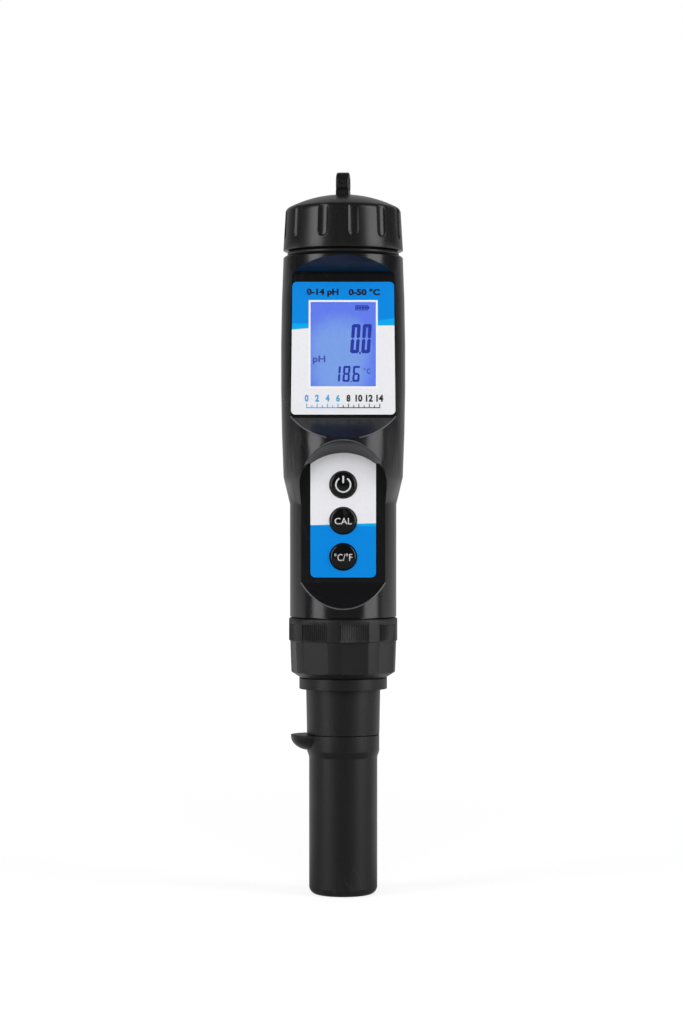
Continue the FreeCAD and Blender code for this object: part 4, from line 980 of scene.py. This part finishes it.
class METER_OT_electrode_cap(MeterOperator):
    """Electrode cap with its thumb tab, and the storage sponge"""
    bl_idname = "meter.electrode_cap"
    bl_label = "Electrode Cap"

    def execute(self, context):
        setup = context.scene.meter_cap
        satin = moulded("cover_satin", setup.plastic, 0.4, depth=0.003, specular=0.4)
        top = high("protective_cap")[2]
        wall, rim, bend, bore = 9.7, 10.3, 2.3, 8.25
        foot = [(wall - bend + bend * sin(a), bend - bend * cos(a))
                for a in (radians(9 * s) for s in range(11))]
        cup = turned([
            (0, 0), *foot, (wall + 0.02, top - 6.5), (wall + 0.1, top - 6.1),
            (rim - 0.12, top - 5.0), (rim - 0.03, top - 4.7), (rim, top - 4.3),
            (rim, top - 0.2), (rim - 0.06, top - 0.06), (rim - 0.2, top),
            (bore + 0.2, top), (bore, top - 0.2), (bore, 2.5), (bore - 0.8, 1.7), (0, 1.7)],
            steps=144)
        reach, drop, centre = 6.3, 4.5, -8.6
        tab = turned([(0, top - drop)] + [
            (reach * (0.12 + 0.88 * sin(a)), top - drop + (drop - 0.5) * (1 - cos(a)))
            for a in (radians(9 * s) for s in range(11))] +
            [(reach, top - 0.12), (reach - 0.1, top), (0, top)], steps=72)
        tab.transform(Matrix.Translation((centre, 0, 0)))
        inner = [v for v in tab.verts if hypot(v.co.x, v.co.y) < bore + 0.6]
        for spot in inner:
            shift = (bore + 0.6) / max(hypot(spot.co.x, spot.co.y), 0.01)
            spot.co.x = min(spot.co.x * shift, -sqrt(max(0.0, (bore + 0.6) ** 2 - spot.co.y ** 2)))
        cover = joined([cup, tab])
        soften(new_piece("electrode_cover", cover, satin, "electrode_cap",
                         nodes=("protective_cap",)), 35)
        dress(sponge_material(), "storage_sponge")
        return {"FINISHED"}


class METER_OT_battery_cap(MeterOperator):
    """Battery cap with grip slots and its lanyard loop"""
    bl_idname = "meter.battery_cap"
    bl_label = "Battery Cap"

    foot, top, bore = 17.05, 16.42, 14.85
    crown, dome, shoulder, ceiling = 16.1, 34.0, 1.9, 11.25
    half, depth, start, turn, spacing = 1.4, 0.55, 3.0, 10.0, 30.0

    def execute(self, context):
        setup = context.scene.meter_cap
        satin = moulded("cap_satin", setup.plastic, 0.25, depth=0.003, grain=3000.0, spread=0.08)
        shell = self.shell()
        self.cut_slots(shell)
        loop = self.loop()
        cap = joined([shell, loop])
        cap.transform(Matrix.Translation((0, 0, low("battery_cap")[2])))
        soften(new_piece("battery_cap_shell", cap, satin, "cell_cap",
                         nodes=("battery_cap",)), 32)
        nickel = metal("cap_nickel", (0.68, 0.66, 0.6), 0.3)
        dress(nickel, "cap_contact_plate", "plate_rivet")
        return {"FINISHED"}

    def shell(self):
        """The cap turned from its foot: skirt, shoulder, dome and the hollow inside."""
        centre = self.crown - self.dome
        reach = self.top - self.shoulder
        swing = atan2(sqrt((self.dome - self.shoulder) ** 2 - reach ** 2), reach)
        level = centre + (self.dome - self.shoulder) * sin(swing)
        rise = [self.start + self.half * s / 8 for s in range(-1, 12)]
        climb = [rise[-1] + (level - rise[-1]) * s / 5 for s in range(1, 6)]
        outline = [(self.bore, 0), (self.foot - 0.3, 0), (self.foot - 0.08, 0.07),
                   (self.foot, 0.3)]
        outline += [(self.foot - (self.foot - self.top) * z / level, z) for z in rise + climb]
        outline += [(reach + self.shoulder * cos(swing * s / 8),
                     level + self.shoulder * sin(swing * s / 8)) for s in range(1, 9)]
        outline += [(self.dome * cos(a), centre + self.dome * sin(a)) for a in (
            swing + (pi / 2 - swing) * s / 12 for s in range(1, 12))]
        outline += [(0, self.crown), (0, self.ceiling), (self.bore, self.ceiling)]
        return turned(outline, steps=600)

    def cut_slots(self, maker):
        """Sinks the grip slots into the skirt, their walls steep and their feet round."""
        edge = degrees(atan2(self.half, self.foot))
        for spot in maker.verts:
            radius, height = hypot(spot.co.x, spot.co.y), spot.co.z
            if radius < self.bore + 0.3 or height < self.start - 0.4:
                continue
            angle = degrees(atan2(spot.co.x, -spot.co.y))
            middle = self.turn + round((angle - self.turn) / self.spacing) * self.spacing
            off = angle - middle
            if abs(abs(off) - edge) < 0.3:
                off = (edge - 0.06 if abs(off) < edge else edge + 0.06) * (1 if off > 0 else -1)
            across = self.foot * sin(radians(off))
            below = self.start + self.half - height
            inside = self.half - (hypot(across, below) if below > 0 else abs(across))
            if inside > -0.3:
                reach = max(0.0, 1 - inside / self.half)
                share = sqrt(max(0.0, 1 - min(1.0, reach) ** 2))
                floor = (self.foot - (self.foot - self.top) * height / 13.4 - self.depth)
                floor = min(radius, floor / cos(radians(off)))
                radius += (floor - radius) * share
            spot.co.x = radius * sin(radians(middle + off))
            spot.co.y = -radius * cos(radians(middle + off))

    def loop(self):
        """The lanyard loop: a rounded ring across the cap, on a foot that joins the dome."""
        hole, outer, half, round_off = 1.9, 3.4, 1.85, 0.5
        height = self.crown + 3.0
        corners = ((outer, half), (outer, -half), (hole, -half), (hole, half))
        middle = (hole + outer) / 2
        outline = []
        for quarter, (radius, side) in enumerate(corners):
            inward = round_off if radius < middle else -round_off
            up = -round_off if side > 0 else round_off
            for step in range(4):
                swing = pi / 2 - (quarter * 3 + step) * pi / 6
                outline.append((radius + inward + round_off * cos(swing),
                                side + up + round_off * sin(swing)))
        ring = turned(outline, steps=64)
        ring.transform(Matrix.Translation((0, 0, height)) @ Matrix.Rotation(pi / 2, 4, "Y"))
        foot = bmesh.new()
        bmesh.ops.create_cube(foot, size=1.0)
        foot.transform(Matrix.Translation((0, 0, self.crown + 0.2)) @
                       Matrix.Diagonal((2 * half - 0.04, 2 * outer - 0.4, 1.8, 1.0)))
        loop = joined([ring, foot])
        loop.transform(Matrix.Rotation(radians(-5), 4, "Z"))
        bmesh.ops.recalc_face_normals(loop, faces=loop.faces)
        return loop


class METER_OT_electronics(MeterOperator):
    """Circuit board, its components, the socket and the switches"""
    bl_idname = "meter.electronics"
    bl_label = "Electronics"

    def execute(self, context):
        dress(board_material(), "circuit_board")
        epoxy = moulded("chip_epoxy", (0.03, 0.03, 0.03), 0.5, depth=0.006)
        dress(epoxy, "controller_chip", "socket_header")
        dress(metal("crystal_can", (0.7, 0.7, 0.71), 0.25), "clock_crystal")
        dress(moulded("switch_nylon", (0.045, 0.045, 0.05), 0.45), "power_switch",
              "cal_switch", "unit_switch")
        dress(moulded("socket_nylon", (0.6, 0.53, 0.38), 0.45), "electrode_socket")
        dress(moulded("tray_white", (0.72, 0.72, 0.72), 0.4), "lcd_frame")
        dress(moulded("elastic_grey", (0.14, 0.14, 0.16), 0.7), "contact_strip_low",
              "contact_strip_high")
        dress(clear("guide_acrylic", (0.8, 0.86, 1.0), roughness=0.35), "backlight_panel")
        return {"FINISHED"}


class METER_OT_cells(MeterOperator):
    """Cell holder, contacts and four button cells"""
    bl_idname = "meter.cells"
    bl_label = "Cells"

    def execute(self, context):
        dress(moulded("holder_black", (0.03, 0.03, 0.033), 0.45), "battery_holder")
        dress(metal("contact_nickel", (0.72, 0.69, 0.6), 0.3), "cell_contact_left",
              "cell_contact_right")
        dress(metal("cell_steel", (0.7, 0.7, 0.72), 0.2), "button_cell_left_low",
              "button_cell_left_high", "button_cell_right_low", "button_cell_right_high")
        return {"FINISHED"}


class METER_OT_stage(MeterOperator):
    """Floor, soft studio light and camera"""
    bl_idname = "meter.stage"
    bl_label = "Stage"

    def execute(self, context):
        setup = context.scene.meter_stage
        scene = context.scene
        scene.view_settings.view_transform = "Standard"
        self.floor(setup)
        self.sky(scene)
        for name, at, size, power, toward in (
                ("soft_left", (-0.72, -0.50, 0.50), (0.42, 1.1), 5.2, (0, 0, 0.5)),
                ("soft_right", (0.78, -0.40, 0.50), (0.50, 1.1), 5.7, (0, 0, 0.5)),
                ("soft_front", (0.0, -0.95, 0.60), (0.6, 0.5), 3.9, (0, 0, 0.12))):
            light = bpy.data.lights.new(name, "AREA")
            light.shape = "RECTANGLE"
            light.size, light.size_y = size
            light.energy = power
            lamp = bpy.data.objects.new(name, light)
            scene.collection.objects.link(lamp)
            lamp.location = at
            lamp.visible_glossy = name != "soft_front"
            aim = Vector(toward) - Vector(at)
            lamp.rotation_euler = aim.to_track_quat("-Z", "Y").to_euler()
        view = bpy.data.cameras.new("camera")
        view.sensor_fit = "VERTICAL"
        view.sensor_height = 36.0
        view.lens = setup.lens
        view.shift_y = -12 / 1024
        view.clip_end = 20.0
        camera = bpy.data.objects.new("camera", view)
        scene.collection.objects.link(camera)
        camera.location = (-0.48 * MM, -setup.distance, setup.height)
        camera.rotation_euler = (radians(90), 0, 0)
        scene.camera = camera
        return {"FINISHED"}

    def floor(self, setup):
        """A pale floor that keeps the meter's shadow."""
        maker = bmesh.new()
        bmesh.ops.create_grid(maker, x_segments=1, y_segments=1, size=8.0)
        mesh = bpy.data.meshes.new("floor")
        maker.to_mesh(mesh)
        maker.free()
        ground = bpy.data.objects.new("floor", mesh)
        bpy.context.scene.collection.objects.link(ground)
        material, tree, shader = new_material("floor_white", Base_Color=setup.floor,
                                              Roughness=0.9, Specular_IOR_Level=0.1)
        rays = add(tree, "LightPath").outputs
        place = add(tree, "TexCoord").outputs["Object"]
        away = add(tree, "VectorMath", {0: place}, operation="LENGTH").outputs["Value"]
        fill = remap(tree, away, 0.04, 0.9, 0.78, 0.93, smooth=True)
        behind = add(tree, "SeparateXYZ", {0: place}).outputs["Y"]
        back = remap(tree, behind, -0.05, 0.12, 0.0, 1.0, smooth=True)
        plain = sum_of(tree, "MAXIMUM", rays["Is Camera Ray"],
                       sum_of(tree, "MULTIPLY", rays["Is Transmission Ray"], back))
        far = remap(tree, behind, 0.3, 1.5, 1.0, 0.4)
        mirrored = sum_of(tree, "MULTIPLY", rays["Is Glossy Ray"],
                          sum_of(tree, "MULTIPLY", back, far))
        seen = sum_of(tree, "MAXIMUM", plain, mirrored)
        tree.links.new(sum_of(tree, "MULTIPLY", seen, fill), shader.inputs["Emission Strength"])
        shader.inputs["Emission Color"].default_value = (1.0, 1.0, 1.0, 1.0)
        mesh.materials.append(material)

    def sky(self, scene):
        """White behind the meter for the camera and in reflections, dimmer in front."""
        world = bpy.data.worlds.new("studio")
        scene.world = world
        world.use_nodes = True
        tree = world.node_tree
        tree.nodes.clear()
        rays = add(tree, "LightPath").outputs
        way = add(tree, "SeparateXYZ", {0: add(tree, "TexCoord").outputs["Generated"]})
        behind = remap(tree, way.outputs["Y"], 0.35, 0.95, 0.06, 0.45, smooth=True)
        ahead = remap(tree, way.outputs["Y"], -0.2, 0.2, 0.06, 1.0)
        seen = sum_of(tree, "MAXIMUM", rays["Is Camera Ray"],
                      sum_of(tree, "MULTIPLY", rays["Is Transmission Ray"], ahead))
        glossy = sum_of(tree, "MULTIPLY", rays["Is Glossy Ray"], behind)
        rest = sum_of(tree, "SUBTRACT", 1.0, sum_of(tree, "MAXIMUM", seen,
                                                    rays["Is Glossy Ray"]))
        level = sum_of(tree, "ADD", sum_of(tree, "ADD", seen, glossy),
                       sum_of(tree, "MULTIPLY", rest, 0.32))
        glow = add(tree, "Background", {"Color": (1, 1, 1, 1), "Strength": level})
        out = add(tree, "OutputWorld", {"Surface": glow.outputs[0]})
        out.is_active_output = True


class METER_PT_panel(bpy.types.Panel):
    """Sizes and colours of the pH meter"""
    bl_idname = "METER_PT_panel"
    bl_label = "pH Meter"
    bl_space_type = "VIEW_3D"
    bl_region_type = "UI"
    bl_category = "pH Meter"

    def draw(self, context):
        layout = self.layout
        for group_name, settings in SETTINGS.items():
            box = layout.box()
            box.label(text=group_name.replace("_", " ").title())
            for name in settings.__annotations__:
                box.prop(getattr(context.scene, group_name), name)
        for operator in OPERATORS:
            layout.operator(operator.bl_idname)


SETTINGS = {
    "meter_handle": MeterHandleSettings,
    "meter_cap": MeterCapSettings,
    "meter_nut": MeterNutSettings,
    "meter_display": MeterDisplaySettings,
    "meter_keypad": MeterKeypadSettings,
    "meter_stage": MeterStageSettings,
}
OPERATORS = (
    METER_OT_handle, METER_OT_threads, METER_OT_display, METER_OT_markings, METER_OT_keypad,
    METER_OT_union_nut, METER_OT_electrode, METER_OT_electrode_cap, METER_OT_battery_cap,
    METER_OT_electronics, METER_OT_cells, METER_OT_stage,
)


def register():
    for settings in SETTINGS.values():
        bpy.utils.register_class(settings)
    for name, settings in SETTINGS.items():
        setattr(bpy.types.Scene, name, PointerProperty(type=settings))
    for operator in OPERATORS:
        bpy.utils.register_class(operator)
    bpy.utils.register_class(METER_PT_panel)


def unregister():
    bpy.utils.unregister_class(METER_PT_panel)
    for operator in reversed(OPERATORS):
        bpy.utils.unregister_class(operator)
    for name in SETTINGS:
        delattr(bpy.types.Scene, name)
    for settings in reversed(list(SETTINGS.values())):
        bpy.utils.unregister_class(settings)


def main():
    register()
    for operator in OPERATORS:
        family, name = operator.bl_idname.split(".")
        getattr(getattr(bpy.ops, family), name)()


if __name__ == "__main__":
    main()
